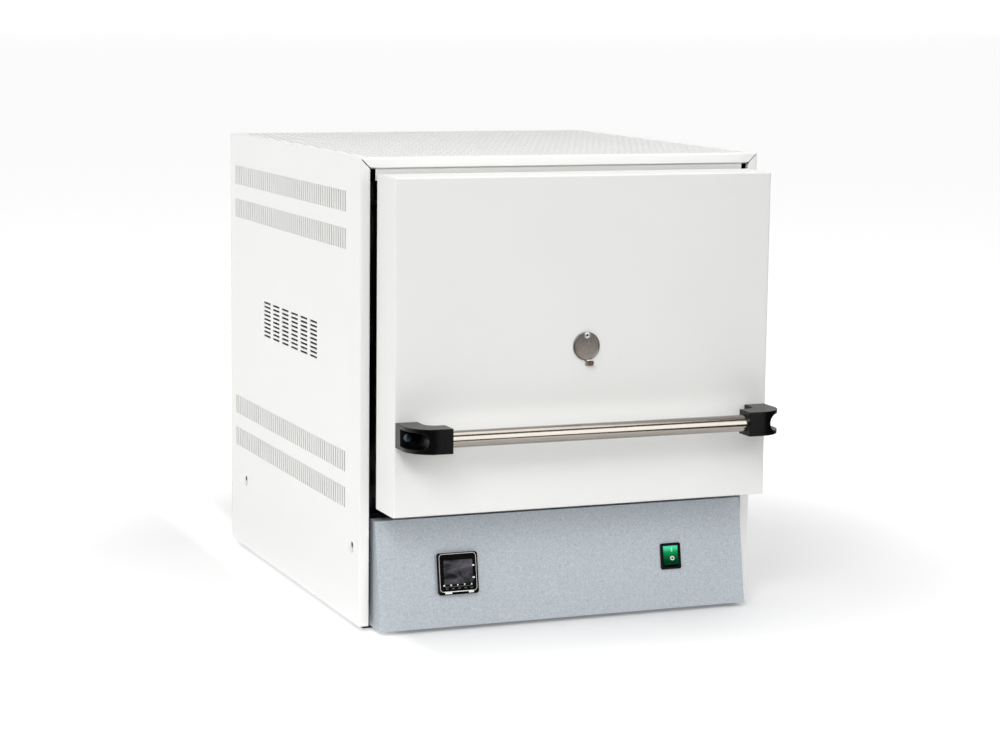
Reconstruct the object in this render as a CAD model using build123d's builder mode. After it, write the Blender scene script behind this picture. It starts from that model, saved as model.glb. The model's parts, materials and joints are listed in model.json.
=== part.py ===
from build123d import *
from math import atan2, cos, radians, sin
import os

os.makedirs("parts", exist_ok=True)

# Bench muffle furnace with a door that lifts straight up on two pairs of swing arms.
# Millimetres, +Z up, the front faces -Y, +X is to the right of someone in front of it.
# The origin is under the middle of the whole object, on the plane it stands on.

# Cabinet, driving dimensions
CAB_W = 495.0
CAB_D = 527.0
CAB_H = 535.0
FOOT_H = 7.0
SHEET = 1.2
FLANGE = 12.0
FLANGE_LIP = 10.0
REAR_FLANGE = 18.0
BEND_R = 2.0
MITRE_GAP = 0.5

# Door and handle, driving dimensions
DOOR_W = 461.0
DOOR_H = 379.0
DOOR_T = 60.0
DOOR_GAP = 9.0
DOOR_BASE = 138.0
HANDLE_R = 9.5
HANDLE_WALL = 1.5
HANDLE_OUT = 43.5
HANDLE_ABOVE = 232.0
BRACKET_OUT = 57.0
BRACKET_H = 28.0
BRACKET_L = 49.0

# Sloping control panel, driving dimensions
PANEL_W = 461.6
PANEL_T = 1.5
PANEL_TOP_OUT = 5.9
PANEL_TOP_ABOVE = 122.5
PANEL_FOOT_OUT = 27.1
PANEL_FOOT_ABOVE = -1.8
PANEL_BACK = 12.0
CONTROLLER = 48.0
CONTROLLER_X = -134.8
CONTROLLER_DOWN = 65.3
SWITCH_W = 25.6
SWITCH_H = 30.9
SWITCH_X = 136.3
SWITCH_DOWN = 64.3

# Firing chamber, driving dimensions
CHAMBER_W = 200.0
CHAMBER_D = 300.0
CHAMBER_H = 130.0
CHAMBER_ABOVE = 323.0
HEATER_T = 25.0
HEARTH_T = 12.0
CASING_W = 410.0
CASING_TOP_ABOVE = 510.0

# Door linkage, driving dimensions: four equal arms that keep the door upright
ARM_L = 167.0
ARM_T = 4.0
UPPER_ARM_W = 22.0
LOWER_ARM_W = 18.0
UPPER_PIVOT = (22.0, 480.0)
LOWER_PIVOT = (47.0, 330.0)
SHAFT_R = 6.0
PIN_R = 4.0

# Rear outlet, driving dimensions
SPIGOT_OUT = 35.0
PIPE_R = 12.5
PIPE_BORE = 10.0

# Places worked out from them
HW = CAB_W / 2
DOOR_FRONT_OUT = DOOR_GAP + DOOR_T
FRONT = (DOOR_FRONT_OUT + BRACKET_OUT - CAB_D - SPIGOT_OUT) / 2
REAR = FRONT + CAB_D
BASE = FOOT_H
TOP = BASE + CAB_H
DOOR_FACE = FRONT - DOOR_FRONT_OUT
DOOR_BACK = FRONT - DOOR_GAP
DOOR_Z = (BASE + DOOR_BASE, BASE + DOOR_BASE + DOOR_H)
CENTRE = BASE + CHAMBER_ABOVE
HANDLE_Z = BASE + HANDLE_ABOVE
COLLAR_FRONT = FRONT + 24.0
CHAMBER_Y = (FRONT + 44.0, FRONT + 44.0 + CHAMBER_D)
CHAMBER_Z = (CENTRE - CHAMBER_H / 2, CENTRE + CHAMBER_H / 2)
SHELF_TOP = BASE + 128.2
CASING_X = CASING_W / 2
CASING_Y = (FRONT + 30.0, FRONT + 470.0)
CASING_Z = (SHELF_TOP + 8.0, BASE + CASING_TOP_ABOVE)
FILL_X = CASING_X - SHEET
FILL_Z = (CASING_Z[0] + SHEET, CASING_Z[1] - SHEET)
FILL_BACK = CASING_Y[1] - SHEET
HEATER_X = CHAMBER_W / 2 + HEATER_T
UPPER = (FRONT + UPPER_PIVOT[0], BASE + UPPER_PIVOT[1])
LOWER = (FRONT + LOWER_PIVOT[0], BASE + LOWER_PIVOT[1])
UPPER_END = (UPPER[0], UPPER[1] - ARM_L)
LOWER_END = (LOWER[0], LOWER[1] - ARM_L)
ARM_X = (DOOR_W / 2 + 0.5, DOOR_W / 2 + 0.5 + ARM_T)
HINGE_X = (DOOR_W / 2 - SHEET - 3.0, DOOR_W / 2 - SHEET)
BEARING_X = (ARM_X[1] + 1.0, ARM_X[1] + 4.0)
WALL_IN = HW - SHEET

# The control panel's face leans out towards its foot
PANEL_RISE = PANEL_TOP_ABOVE - PANEL_FOOT_ABOVE
PANEL_RUN = PANEL_FOOT_OUT - PANEL_TOP_OUT
LEAN = atan2(PANEL_RUN, PANEL_RISE)
PANEL_FACE = Plane(
    origin=(0, FRONT - PANEL_TOP_OUT, BASE + PANEL_TOP_ABOVE),
    x_dir=(1, 0, 0),
    z_dir=(0, -cos(LEAN), sin(LEAN)),
)


def block(x, y, z, mode=Mode.ADD):
    """A box between a low and a high limit on each axis."""
    with Locations(((x[0] + x[1]) / 2, (y[0] + y[1]) / 2, (z[0] + z[1]) / 2)):
        Box(x[1] - x[0], y[1] - y[0], z[1] - z[0], mode=mode)


def rod_y(radius, x, z, y, mode=Mode.ADD):
    """A round bar or hole along Y between two limits."""
    with Locations((x, (y[0] + y[1]) / 2, z)):
        Cylinder(radius, y[1] - y[0], rotation=(90, 0, 0), mode=mode)


def rod_x(radius, y, z, x, mode=Mode.ADD):
    """A round bar or hole along X between two limits."""
    with Locations(((x[0] + x[1]) / 2, y, z)):
        Cylinder(radius, x[1] - x[0], rotation=(0, 90, 0), mode=mode)


def save(piece, name):
    """Label one finished sub-part and write it under its own name."""
    piece.part.label = name
    export_step(piece.part, f"parts/{name}.step")


# Feet: four square rubber pads under the corners of the base
FOOT_X = HW - 25.0
FOOT_INSET = 32.0
with BuildPart() as rubber_feet:
    with BuildSketch(Plane.XY):
        with Locations((0, (FRONT + REAR) / 2)):
            with GridLocations(2 * FOOT_X, CAB_D - 2 * FOOT_INSET, 2, 2):
                Rectangle(28, 28)
    extrude(amount=FOOT_H, taper=8)
save(rubber_feet, "rubber_feet")

# Base tray: folded up all round, with two ears that the control panel is spot-welded to
TRAY_FRONT = FRONT + PANEL_BACK + 2.0
TRAY_H = 25.0
EAR_X = PANEL_W / 2 - PANEL_T
with BuildPart() as base_tray:
    block((-WALL_IN, WALL_IN), (TRAY_FRONT, REAR - 2 * SHEET), (BASE, BASE + TRAY_H))
    offset(amount=-SHEET, openings=base_tray.faces().sort_by(Axis.Z)[-1], kind=Kind.INTERSECTION)
    for side in (-1, 1):
        inner, outer = sorted((side * (EAR_X - SHEET), side * EAR_X))
        block((inner, outer), (FRONT - 2.0, TRAY_FRONT + SHEET), (BASE + 10.0, BASE + 105.0))
save(base_tray, "base_tray")

# Side panels: one sheet each, folded to a mitred front flange and a rear flange,
# with four rows of upright slots and two keyholes
SLOT = (4.0, 24.0)
SLOT_PITCH = 24.9
SLOT_COUNT = 19
SLOT_MIDDLE = 277.5
SLOT_ROWS = (482.7, 440.0, 183.0, 141.0)
KEYHOLES = (25.5, 458.0)
KEYHOLE_Z = BASE + 88.0
KEYHOLE = (5.0, 12.0)
with BuildPart() as left_side_panel:
    with BuildSketch(Plane.XY.offset(BASE)) as side_fold:
        with BuildLine():
            Polyline(
                (-HW + REAR_FLANGE, REAR - SHEET),
                (-HW, REAR - SHEET),
                (-HW, FRONT),
                (-HW + FLANGE, FRONT),
                (-HW + FLANGE, FRONT + FLANGE_LIP),
            )
            offset(amount=SHEET, side=Side.LEFT, kind=Kind.INTERSECTION)
        make_face()
        fillet(side_fold.vertices().group_by(Axis.Y)[0].sort_by(Axis.X)[0], BEND_R)
    extrude(amount=CAB_H)
    with BuildSketch(Plane.XZ.offset(-FRONT - SHEET)):
        with BuildLine():
            Polyline(
                (-HW - 1 - MITRE_GAP, TOP + 1),
                (-HW + FLANGE + 2, TOP - FLANGE - 2 - MITRE_GAP),
                (-HW + FLANGE + 2, TOP + 1),
                close=True,
            )
        make_face()
    extrude(amount=2 * SHEET, mode=Mode.SUBTRACT)
    block(
        (-HW + FLANGE - SHEET, -HW + FLANGE),
        (FRONT, FRONT + FLANGE_LIP),
        (TOP - FLANGE - 1.0, TOP),
        Mode.SUBTRACT,
    )
    block(
        (-HW + SHEET, -HW + REAR_FLANGE),
        (REAR - 2 * SHEET, REAR - SHEET),
        (TOP - 16.0, TOP),
        Mode.SUBTRACT,
    )
    with BuildSketch(Plane.YZ.offset(-HW - 1)):
        with Locations(*[(FRONT + SLOT_MIDDLE, BASE + row) for row in SLOT_ROWS]):
            with GridLocations(SLOT_PITCH, 1, SLOT_COUNT, 1):
                Rectangle(*SLOT)
        with Locations(*[(FRONT + place, KEYHOLE_Z) for place in KEYHOLES]):
            Rectangle(*KEYHOLE)
    extrude(amount=2 * SHEET + 1, mode=Mode.SUBTRACT)
save(left_side_panel, "left_side_panel")

with BuildPart() as right_side_panel:
    mirror(left_side_panel.part, about=Plane.YZ)
save(right_side_panel, "right_side_panel")

# Top cover: lies between the side panels. Its mitred front flange is folded back on itself
# to a rail that closes the gap over the door.
COVER_X = WALL_IN - 0.4
RAIL_IN = 3.6
RAIL_H = 14.0
RAIL_END = 7.0
with BuildPart() as top_cover:
    with BuildSketch(Plane.YZ.offset(-COVER_X)) as cover_fold:
        with BuildLine():
            Polyline(
                (FRONT + RAIL_IN, TOP - FLANGE - RAIL_H),
                (FRONT + RAIL_IN, TOP - FLANGE),
                (FRONT, TOP - FLANGE),
                (FRONT, TOP),
                (REAR - SHEET, TOP),
                (REAR - SHEET, TOP - FLANGE),
            )
            offset(amount=SHEET, side=Side.RIGHT, kind=Kind.INTERSECTION)
        make_face()
        fillet(cover_fold.vertices().group_by(Axis.Y)[-1].sort_by(Axis.X)[0], BEND_R)
    extrude(amount=2 * COVER_X)
    with BuildSketch(Plane.YZ.offset(-HW)) as flange_end:
        with Locations((FRONT + SHEET / 2, TOP - FLANGE / 2)):
            Rectangle(SHEET, FLANGE)
        fillet(flange_end.vertices().group_by(Axis.Y)[-1].sort_by(Axis.X)[0], SHEET - 0.1)
    extrude(amount=CAB_W)
    for side in (-1, 1):
        inner, outer = sorted((side * (COVER_X - SHEET), side * COVER_X))
        block((inner, outer), (FRONT + 14.0, REAR - SHEET), (TOP - FLANGE, TOP))
    with BuildSketch(Plane.XZ.offset(-FRONT - SHEET)):
        with BuildLine():
            Polyline(
                (-HW - 1, TOP + 1 + MITRE_GAP),
                (-HW + FLANGE + 2, TOP - FLANGE - 2 + MITRE_GAP),
                (-HW - 1, TOP - FLANGE - 2 - MITRE_GAP),
                close=True,
            )
        make_face()
        mirror(about=Plane.YZ)
    extrude(amount=2 * SHEET, mode=Mode.SUBTRACT)
    for side in (-1, 1):
        inner, outer = sorted((side * (HW - FLANGE - RAIL_END), side * HW))
        depth = (FRONT + SHEET, FRONT + RAIL_IN + SHEET)
        block((inner, outer), depth, (TOP - FLANGE - RAIL_H, TOP - SHEET), Mode.SUBTRACT)
save(top_cover, "top_cover")

# Rear panel: a flat sheet with vents, the flue hole and the inlet's cut-out
FLUE_Z = CENTRE + 45.0
INLET_X = -150.0
INLET_Z = BASE + 58.0
INLET_CUT = (32.0, 26.0)
with BuildPart() as rear_panel:
    block((-HW, HW), (REAR - SHEET, REAR), (BASE, TOP))
    with BuildSketch(Plane.XZ.offset(-REAR)):
        with Locations((60.0, BASE + 60.0), (0, BASE + 478.0)):
            with GridLocations(24, 1, 6, 1):
                Rectangle(8, 50)
        with Locations((INLET_X, INLET_Z)):
            Rectangle(*INLET_CUT)
        with Locations((0, FLUE_Z)):
            Circle(PIPE_R - 0.5)
    extrude(amount=SHEET, mode=Mode.SUBTRACT)
save(rear_panel, "rear_panel")

# Screws: their heads cover the lower part of each side panel's keyholes
SCREW_SIDES = 12
SCREW_R = 4.2
with BuildPart() as cabinet_screws:
    with BuildSketch(Plane.YZ.offset(HW)):
        with Locations(*[(FRONT + place, KEYHOLE_Z - 2.4) for place in KEYHOLES]):
            RegularPolygon(SCREW_R, SCREW_SIDES)
    extrude(amount=1.6)
    mirror(about=Plane.YZ)
save(cabinet_screws, "cabinet_screws")

# Compartment shelf: carries the furnace body above the electrics, on two pressed ribs
with BuildPart() as compartment_shelf:
    block((-WALL_IN, WALL_IN), (TRAY_FRONT, REAR - 2 * SHEET), (SHELF_TOP - 20.0, SHELF_TOP))
    offset(amount=-SHEET, openings=compartment_shelf.faces().sort_by(Axis.Z)[0], kind=Kind.INTERSECTION)
    for x in (-120.0, 120.0):
        block((x - 20, x + 20), (FRONT + 60.0, FRONT + 440.0), (SHELF_TOP - SHEET, CASING_Z[0]))
        block(
            (x - 20 + SHEET, x + 20 - SHEET),
            (FRONT + 60.0 + SHEET, FRONT + 440.0 - SHEET),
            (SHELF_TOP - SHEET, CASING_Z[0] - SHEET),
            Mode.SUBTRACT,
        )
save(compartment_shelf, "compartment_shelf")

# Rear services that pass through the insulation: places shared by the pieces round them
LEAD_W = 8.0
LEAD_X = CHAMBER_W / 2 + HEATER_T / 2
LEADS = [(side * LEAD_X, CENTRE + up) for side in (-1, 1) for up in (-40.0, 40.0)]
PROBE_R = 3.0
PROBE = (48.0, CENTRE + 40.0)


def services(y):
    """Clear the flue pipe, the heater leads and the probe through a wall."""
    rod_y(PIPE_R - 0.5, 0, FLUE_Z, y, Mode.SUBTRACT)
    for x, z in LEADS + [PROBE]:
        block((x - LEAD_W / 2, x + LEAD_W / 2), y, (z - LEAD_W / 2, z + LEAD_W / 2), Mode.SUBTRACT)


# Inner casing: a steel box round the insulation, open at the front
with BuildPart() as inner_casing:
    block((-CASING_X, CASING_X), CASING_Y, CASING_Z)
    offset(amount=-SHEET, openings=inner_casing.faces().sort_by(Axis.Y)[0], kind=Kind.INTERSECTION)
    services((FILL_BACK, CASING_Y[1]))
save(inner_casing, "inner_casing")

# Front collar: pressed fibre frame round the chamber's mouth, its nose proud of the plate
NOSE_X = 150.0
NOSE_Z = (CENTRE - 100.0, CENTRE + 100.0)
with BuildPart() as front_collar:
    block((-FILL_X, FILL_X), (CASING_Y[0] + 1.2, CHAMBER_Y[0]), FILL_Z)
    block((-NOSE_X, NOSE_X), (COLLAR_FRONT, CASING_Y[0] + 1.2), NOSE_Z)
    block(
        (-CHAMBER_W / 2, CHAMBER_W / 2),
        (COLLAR_FRONT, CHAMBER_Y[0]),
        CHAMBER_Z,
        Mode.SUBTRACT,
    )
    mouth = front_collar.faces().sort_by(Axis.Y)[0].inner_wires()[0].edges()
    chamfer(mouth, 4.0)
save(front_collar, "front_collar")

# Front plate: stainless surround between the collar and the cabinet's opening
PLATE_X = 222.0
PLATE_Y = (FRONT + 28.5, FRONT + 45.0)
with BuildPart() as front_plate:
    block((-PLATE_X, PLATE_X), PLATE_Y, (SHELF_TOP, BASE + 522.0))
    offset(amount=-1.5, openings=front_plate.faces().sort_by(Axis.Y)[-1], kind=Kind.INTERSECTION)
    block(
        (-NOSE_X - 0.5, NOSE_X + 0.5),
        (PLATE_Y[0], PLATE_Y[0] + 1.5),
        (NOSE_Z[0] - 0.5, NOSE_Z[1] + 0.5),
        Mode.SUBTRACT,
    )
save(front_plate, "front_plate")

# Insulation: fibre boards stacked round the chamber
HEARTH_Z = (CHAMBER_Z[0] - HEARTH_T, CHAMBER_Z[0])
with BuildPart() as floor_insulation:
    block((-FILL_X, FILL_X), (CHAMBER_Y[0], FILL_BACK), (FILL_Z[0], HEARTH_Z[0]))
save(floor_insulation, "floor_insulation")

with BuildPart() as roof_insulation:
    block((-FILL_X, FILL_X), (CHAMBER_Y[0], FILL_BACK), (CHAMBER_Z[1], FILL_Z[1]))
save(roof_insulation, "roof_insulation")

with BuildPart() as side_insulation:
    for side in (-1, 1):
        inner, outer = sorted((side * HEATER_X, side * FILL_X))
        block((inner, outer), CHAMBER_Y, (HEARTH_Z[0], CHAMBER_Z[1]))
save(side_insulation, "side_insulation")

with BuildPart() as rear_insulation:
    block((-FILL_X, FILL_X), (CHAMBER_Y[1], FILL_BACK), (HEARTH_Z[0], CHAMBER_Z[1]))
    services((CHAMBER_Y[1], FILL_BACK))
save(rear_insulation, "rear_insulation")

# Heating plates: ceramic side walls of the chamber, grooved over the wire inside them
GROOVES = 7
GROOVE_PITCH = 17.0
with BuildPart() as left_heating_plate:
    block((-HEATER_X, -CHAMBER_W / 2), CHAMBER_Y, (HEARTH_Z[0], CHAMBER_Z[1]))
    with BuildSketch(Plane.XZ.offset(-CHAMBER_Y[1] + 12.0)):
        with Locations((-CHAMBER_W / 2, CENTRE)):
            with GridLocations(1, GROOVE_PITCH, 1, GROOVES):
                Trapezoid(8.0, 12.0, 80, rotation=90)
    extrude(amount=CHAMBER_D - 24.0, mode=Mode.SUBTRACT)
save(left_heating_plate, "left_heating_plate")

with BuildPart() as right_heating_plate:
    mirror(left_heating_plate.part, about=Plane.YZ)
save(right_heating_plate, "right_heating_plate")

with BuildPart() as heating_leads:
    for x, z in LEADS:
        reach = (CHAMBER_Y[1], CASING_Y[1] + 32.0)
        block((x - LEAD_W / 2, x + LEAD_W / 2), reach, (z - LEAD_W / 2, z + LEAD_W / 2))
save(heating_leads, "heating_leads")

# Ceramic terminals that the heater leads end in, one to a side
with BuildPart() as lead_terminals:
    for side in (-1, 1):
        x = side * LEAD_X
        block((x - 14, x + 14), (CASING_Y[1], CASING_Y[1] + 26.0), (CENTRE - 56.0, CENTRE + 56.0))
        notch = (CASING_Y[1] + 14.0, CASING_Y[1] + 26.0)
        block((x - 9, x + 9), notch, (CENTRE - 24.0, CENTRE + 24.0), Mode.SUBTRACT)
    for x, z in LEADS:
        depth = (CASING_Y[1], CASING_Y[1] + 26.0)
        block((x - LEAD_W / 2, x + LEAD_W / 2), depth, (z - LEAD_W / 2, z + LEAD_W / 2), Mode.SUBTRACT)
save(lead_terminals, "lead_terminals")

# Hearth plate: the hard tile that the crucibles stand on
with BuildPart() as hearth_plate:
    block((-CHAMBER_W / 2, CHAMBER_W / 2), CHAMBER_Y, HEARTH_Z)
save(hearth_plate, "hearth_plate")

# Thermocouple: ceramic sheath from the chamber to a connection head behind the casing
with BuildPart() as thermocouple:
    rod_y(PROBE_R, PROBE[0], PROBE[1], (CHAMBER_Y[1] - 28.0, CASING_Y[1]))
    block((PROBE[0] - 9, PROBE[0] + 9), (CASING_Y[1], CASING_Y[1] + 22.0), (PROBE[1] - 9, PROBE[1] + 9))
save(thermocouple, "thermocouple")

# Flue: a steel pipe from the chamber's rear wall out through the back, and its flange
with BuildPart() as exhaust_pipe:
    rod_y(PIPE_R - 0.5, 0, FLUE_Z, (CHAMBER_Y[1], REAR + 3.0))
    rod_y(PIPE_R, 0, FLUE_Z, (REAR + 3.0, REAR + SPIGOT_OUT))
    rod_y(PIPE_BORE, 0, FLUE_Z, (CHAMBER_Y[1], REAR + SPIGOT_OUT), Mode.SUBTRACT)
save(exhaust_pipe, "exhaust_pipe")

with BuildPart() as exhaust_flange:
    with BuildSketch(Plane.XZ.offset(-REAR - 3.0)):
        with Locations((0, FLUE_Z)):
            Rectangle(60, 60)
            Circle(PIPE_R - 0.5, mode=Mode.SUBTRACT)
    extrude(amount=3.0)
save(exhaust_flange, "exhaust_flange")

# Control panel: a leaning folded sheet, cut for the controller and the switch
CASE = 44.8
SWITCH_BODY = (22.0, 27.4)
with BuildPart() as control_panel:
    with BuildSketch(Plane.YZ.offset(-PANEL_W / 2)):
        with BuildLine():
            Polyline(
                (FRONT - PANEL_TOP_OUT, BASE + PANEL_TOP_ABOVE),
                (FRONT - PANEL_FOOT_OUT, BASE + PANEL_FOOT_ABOVE),
                (FRONT + PANEL_BACK, BASE + PANEL_FOOT_ABOVE),
                (FRONT + PANEL_BACK, BASE + PANEL_TOP_ABOVE),
                close=True,
            )
        make_face()
    extrude(amount=PANEL_W)
    offset(amount=-PANEL_T, openings=control_panel.faces().sort_by(Axis.Y)[-1], kind=Kind.INTERSECTION)
    with BuildSketch(PANEL_FACE):
        with Locations((CONTROLLER_X, -CONTROLLER_DOWN)):
            Rectangle(CASE, CASE)
        with Locations((SWITCH_X, -SWITCH_DOWN)):
            Rectangle(*SWITCH_BODY)
    extrude(amount=-PANEL_T, mode=Mode.SUBTRACT)
save(control_panel, "control_panel")

# Temperature controller: bezel, window, five keys and the case behind the panel
controller_at = PANEL_FACE.from_local_coords((CONTROLLER_X, -CONTROLLER_DOWN, 0))
CONTROLLER_FACE = PANEL_FACE.shift_origin(controller_at)
BEZEL_T = 6.0
WINDOW = (36.0, 28.0)
WINDOW_UP = 1.7
KEY = (5.6, 2.8)
KEY_PITCH = 7.6
KEY_DOWN = 17.0
KEY_DEPTH = 2.5
with BuildPart() as controller_bezel:
    with BuildSketch(CONTROLLER_FACE):
        bezel_outline = Rectangle(CONTROLLER, CONTROLLER)
        chamfer(bezel_outline.vertices(), 2.0)
    extrude(amount=BEZEL_T)
    with BuildSketch(CONTROLLER_FACE.offset(BEZEL_T)):
        with Locations((0, WINDOW_UP)):
            Rectangle(*WINDOW)
    extrude(amount=-2.0, mode=Mode.SUBTRACT)
    with BuildSketch(CONTROLLER_FACE.offset(BEZEL_T)):
        with Locations((0, -KEY_DOWN)):
            with GridLocations(KEY_PITCH, 1, 5, 1):
                Rectangle(KEY[0] + 0.4, KEY[1] + 0.4)
    extrude(amount=-KEY_DEPTH - 1.0, mode=Mode.SUBTRACT)
save(controller_bezel, "controller_bezel")

with BuildPart() as controller_window:
    with BuildSketch(CONTROLLER_FACE.offset(BEZEL_T - 2.0)):
        with Locations((0, WINDOW_UP)):
            Rectangle(*WINDOW)
    extrude(amount=1.2)
save(controller_window, "controller_window")

with BuildPart() as controller_case:
    with BuildSketch(CONTROLLER_FACE):
        Rectangle(CASE, CASE)
    extrude(amount=-78.0)
    with BuildSketch(CONTROLLER_FACE.offset(-78.0)):
        with GridLocations(12.0, 1, 3, 1):
            Rectangle(8.0, 34.0)
    extrude(amount=5.0, mode=Mode.SUBTRACT)
save(controller_case, "controller_case")

for number in range(5):
    with BuildPart() as controller_key:
        with BuildSketch(CONTROLLER_FACE.offset(BEZEL_T + 0.5)):
            with Locations(((number - 2) * KEY_PITCH, -KEY_DOWN)):
                key_outline = Rectangle(*KEY)
            chamfer(key_outline.vertices(), 0.8)
        extrude(amount=-KEY_DEPTH - 0.5)
    save(controller_key, f"controller_key_{number + 1}")

# Power switch: a framed body clipped in the panel, and a rocker on the ridge in its well
switch_at = PANEL_FACE.from_local_coords((SWITCH_X, -SWITCH_DOWN, 0))
SWITCH_FACE = PANEL_FACE.shift_origin(switch_at)
SWITCH_RIM = 2.2
WELL = (19.6, 25.0)
WELL_DEPTH = 11.0
PIVOT_DEPTH = 3.0
RIDGE_W = 6.0
ROCKER_TILT = 9.0
SWITCH_SIDE = Plane(
    origin=SWITCH_FACE.from_local_coords((0, 0, -PIVOT_DEPTH)),
    x_dir=SWITCH_FACE.y_dir,
    z_dir=SWITCH_FACE.x_dir,
)
with BuildPart() as switch_body:
    with BuildSketch(SWITCH_FACE):
        switch_rim = Rectangle(SWITCH_W, SWITCH_H)
        chamfer(switch_rim.vertices(), 1.5)
    extrude(amount=SWITCH_RIM)
    with BuildSketch(SWITCH_FACE):
        Rectangle(*SWITCH_BODY)
    extrude(amount=-24.0)
    with BuildSketch(SWITCH_FACE.offset(SWITCH_RIM)):
        Rectangle(*WELL)
    extrude(amount=-SWITCH_RIM - WELL_DEPTH, mode=Mode.SUBTRACT)
    with BuildSketch(SWITCH_SIDE.offset(-WELL[0] / 2)):
        with BuildLine():
            floor = PIVOT_DEPTH - WELL_DEPTH
            Polyline((-RIDGE_W / 2, floor), (0, -0.1), (RIDGE_W / 2, floor), close=True)
        make_face()
    extrude(amount=WELL[0])
save(switch_body, "switch_body")

# The rocker rests with its upper, on end pressed in, so its profile leans back by the tilt.
# Its face is hollow from end to end, and its back has a notch that rides on the ridge.
ROCKER_LEAN = LEAN + radians(ROCKER_TILT)
ROCKER_SIDE = Plane(
    origin=SWITCH_SIDE.origin,
    x_dir=(0, sin(ROCKER_LEAN), cos(ROCKER_LEAN)),
    z_dir=(1, 0, 0),
)
with BuildPart() as rocker:
    with BuildSketch(ROCKER_SIDE.offset(-WELL[0] / 2 + 0.3)):
        with BuildLine():
            ThreePointArc((-11.3, 6.5), (0, 4.5), (11.3, 6.5))
            Polyline(
                (11.3, 6.5),
                (10.9, 1.0),
                (7.5, -4.0),
                (3.6, -4.0),
                (0, 0.2),
                (-3.6, -4.0),
                (-7.5, -4.0),
                (-10.9, 1.0),
                (-11.3, 6.5),
            )
        make_face()
    extrude(amount=WELL[0] - 0.6)
save(rocker, "rocker")

# Electrics in the base: relay on its heat sink, and the mains terminals
SINK_X = (40.0, 130.0)
SINK_Y = (FRONT + 160.0, FRONT + 280.0)
SINK_Z = BASE + SHEET
with BuildPart() as heat_sink:
    with BuildSketch(Plane.XZ.offset(-SINK_Y[1])):
        with Locations(((SINK_X[0] + SINK_X[1]) / 2, SINK_Z + 25.0)):
            Rectangle(SINK_X[1] - SINK_X[0], 6.0)
        with Locations(((SINK_X[0] + SINK_X[1]) / 2, SINK_Z + 11.0)):
            with GridLocations(14.0, 1, 7, 1):
                Rectangle(2.5, 22.0)
    extrude(amount=SINK_Y[1] - SINK_Y[0])
save(heat_sink, "heat_sink")

with BuildPart() as solid_state_relay:
    x = (SINK_X[0] + SINK_X[1]) / 2
    y = (SINK_Y[0] + SINK_Y[1]) / 2
    block((x - 22.5, x + 22.5), (y - 29, y + 29), (SINK_Z + 28.0, SINK_Z + 50.0))
    for side in (-1, 1):
        ends = sorted((y + side * 29, y + side * 17))
        block((x - 19, x - 3), ends, (SINK_Z + 40.0, SINK_Z + 50.0), Mode.SUBTRACT)
        block((x + 3, x + 19), ends, (SINK_Z + 40.0, SINK_Z + 50.0), Mode.SUBTRACT)
save(solid_state_relay, "solid_state_relay")

with BuildPart() as mains_terminals:
    block((-150.0, -70.0), (FRONT + 330.0, FRONT + 356.0), (SINK_Z, SINK_Z + 24.0))
    for number in range(5):
        x = -150.0 + 8.0 + number * 16.0
        for start in (330.0, 349.0):
            bay = (FRONT + start, FRONT + start + 7.0)
            block((x - 5.5, x + 5.5), bay, (SINK_Z + 8.0, SINK_Z + 24.0), Mode.SUBTRACT)
save(mains_terminals, "mains_terminals")

# Appliance inlet: a moulded socket in the rear panel with three blades
INLET_FLANGE = (50.0, 32.0)
RECESS = (26.0, 19.0)
RECESS_DEPTH = 19.0
BLADE_L = 13.0
BLADES = [(INLET_X - 8.0, INLET_Z - 3.0), (INLET_X, INLET_Z + 3.5), (INLET_X + 8.0, INLET_Z - 3.0)]
with BuildPart() as power_inlet:
    with BuildSketch(Plane.XZ.offset(-REAR - 3.0)):
        with Locations((INLET_X, INLET_Z)):
            Rectangle(*INLET_FLANGE)
    extrude(amount=3.0)
    block(
        (INLET_X - INLET_CUT[0] / 2, INLET_X + INLET_CUT[0] / 2),
        (REAR - 22.0, REAR),
        (INLET_Z - INLET_CUT[1] / 2, INLET_Z + INLET_CUT[1] / 2),
    )
    with BuildSketch(Plane.XZ.offset(-REAR - 3.0)):
        with Locations((INLET_X, INLET_Z)):
            Rectangle(*RECESS)
    extrude(amount=RECESS_DEPTH, mode=Mode.SUBTRACT)
    with BuildSketch(Plane.XZ.offset(-REAR)):
        with Locations(*BLADES):
            Rectangle(2.0, 6.0)
    extrude(amount=22.0, mode=Mode.SUBTRACT)
save(power_inlet, "power_inlet")

with BuildPart() as inlet_blades:
    with BuildSketch(Plane.XZ.offset(-REAR - 3.0 + RECESS_DEPTH - BLADE_L)):
        with Locations(*BLADES):
            Rectangle(2.0, 6.0)
    extrude(amount=BLADE_L + 14.0)
save(inlet_blades, "inlet_blades")

# Pivot brackets: folded plates on the cabinet's walls that carry the arms' fixed pivots
BRACKET_Z = (LOWER[1] - 22.0, UPPER[1] + 20.0)
BEARING = 18.0


def bearing_seat(x, mode=Mode.ADD):
    """The square of one shaft bearing, between two limits across the cabinet."""
    half = BEARING / 2
    block(x, (UPPER[0] - half, UPPER[0] + half), (UPPER[1] - half, UPPER[1] + half), mode)


with BuildPart() as left_pivot_bracket:
    with BuildSketch(Plane.XY.offset(BRACKET_Z[0])):
        with BuildLine():
            Polyline(
                (-BEARING_X[0], FRONT + 12.0),
                (-BEARING_X[0], FRONT + 64.0),
                (-WALL_IN + 3.0, FRONT + 64.0),
                (-WALL_IN + 3.0, FRONT + 90.0),
            )
            offset(amount=3.0, side=Side.LEFT, kind=Kind.INTERSECTION)
        make_face()
    extrude(amount=BRACKET_Z[1] - BRACKET_Z[0])
    bearing_seat((-BEARING_X[1], -BEARING_X[0]), Mode.SUBTRACT)
save(left_pivot_bracket, "left_pivot_bracket")

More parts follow.
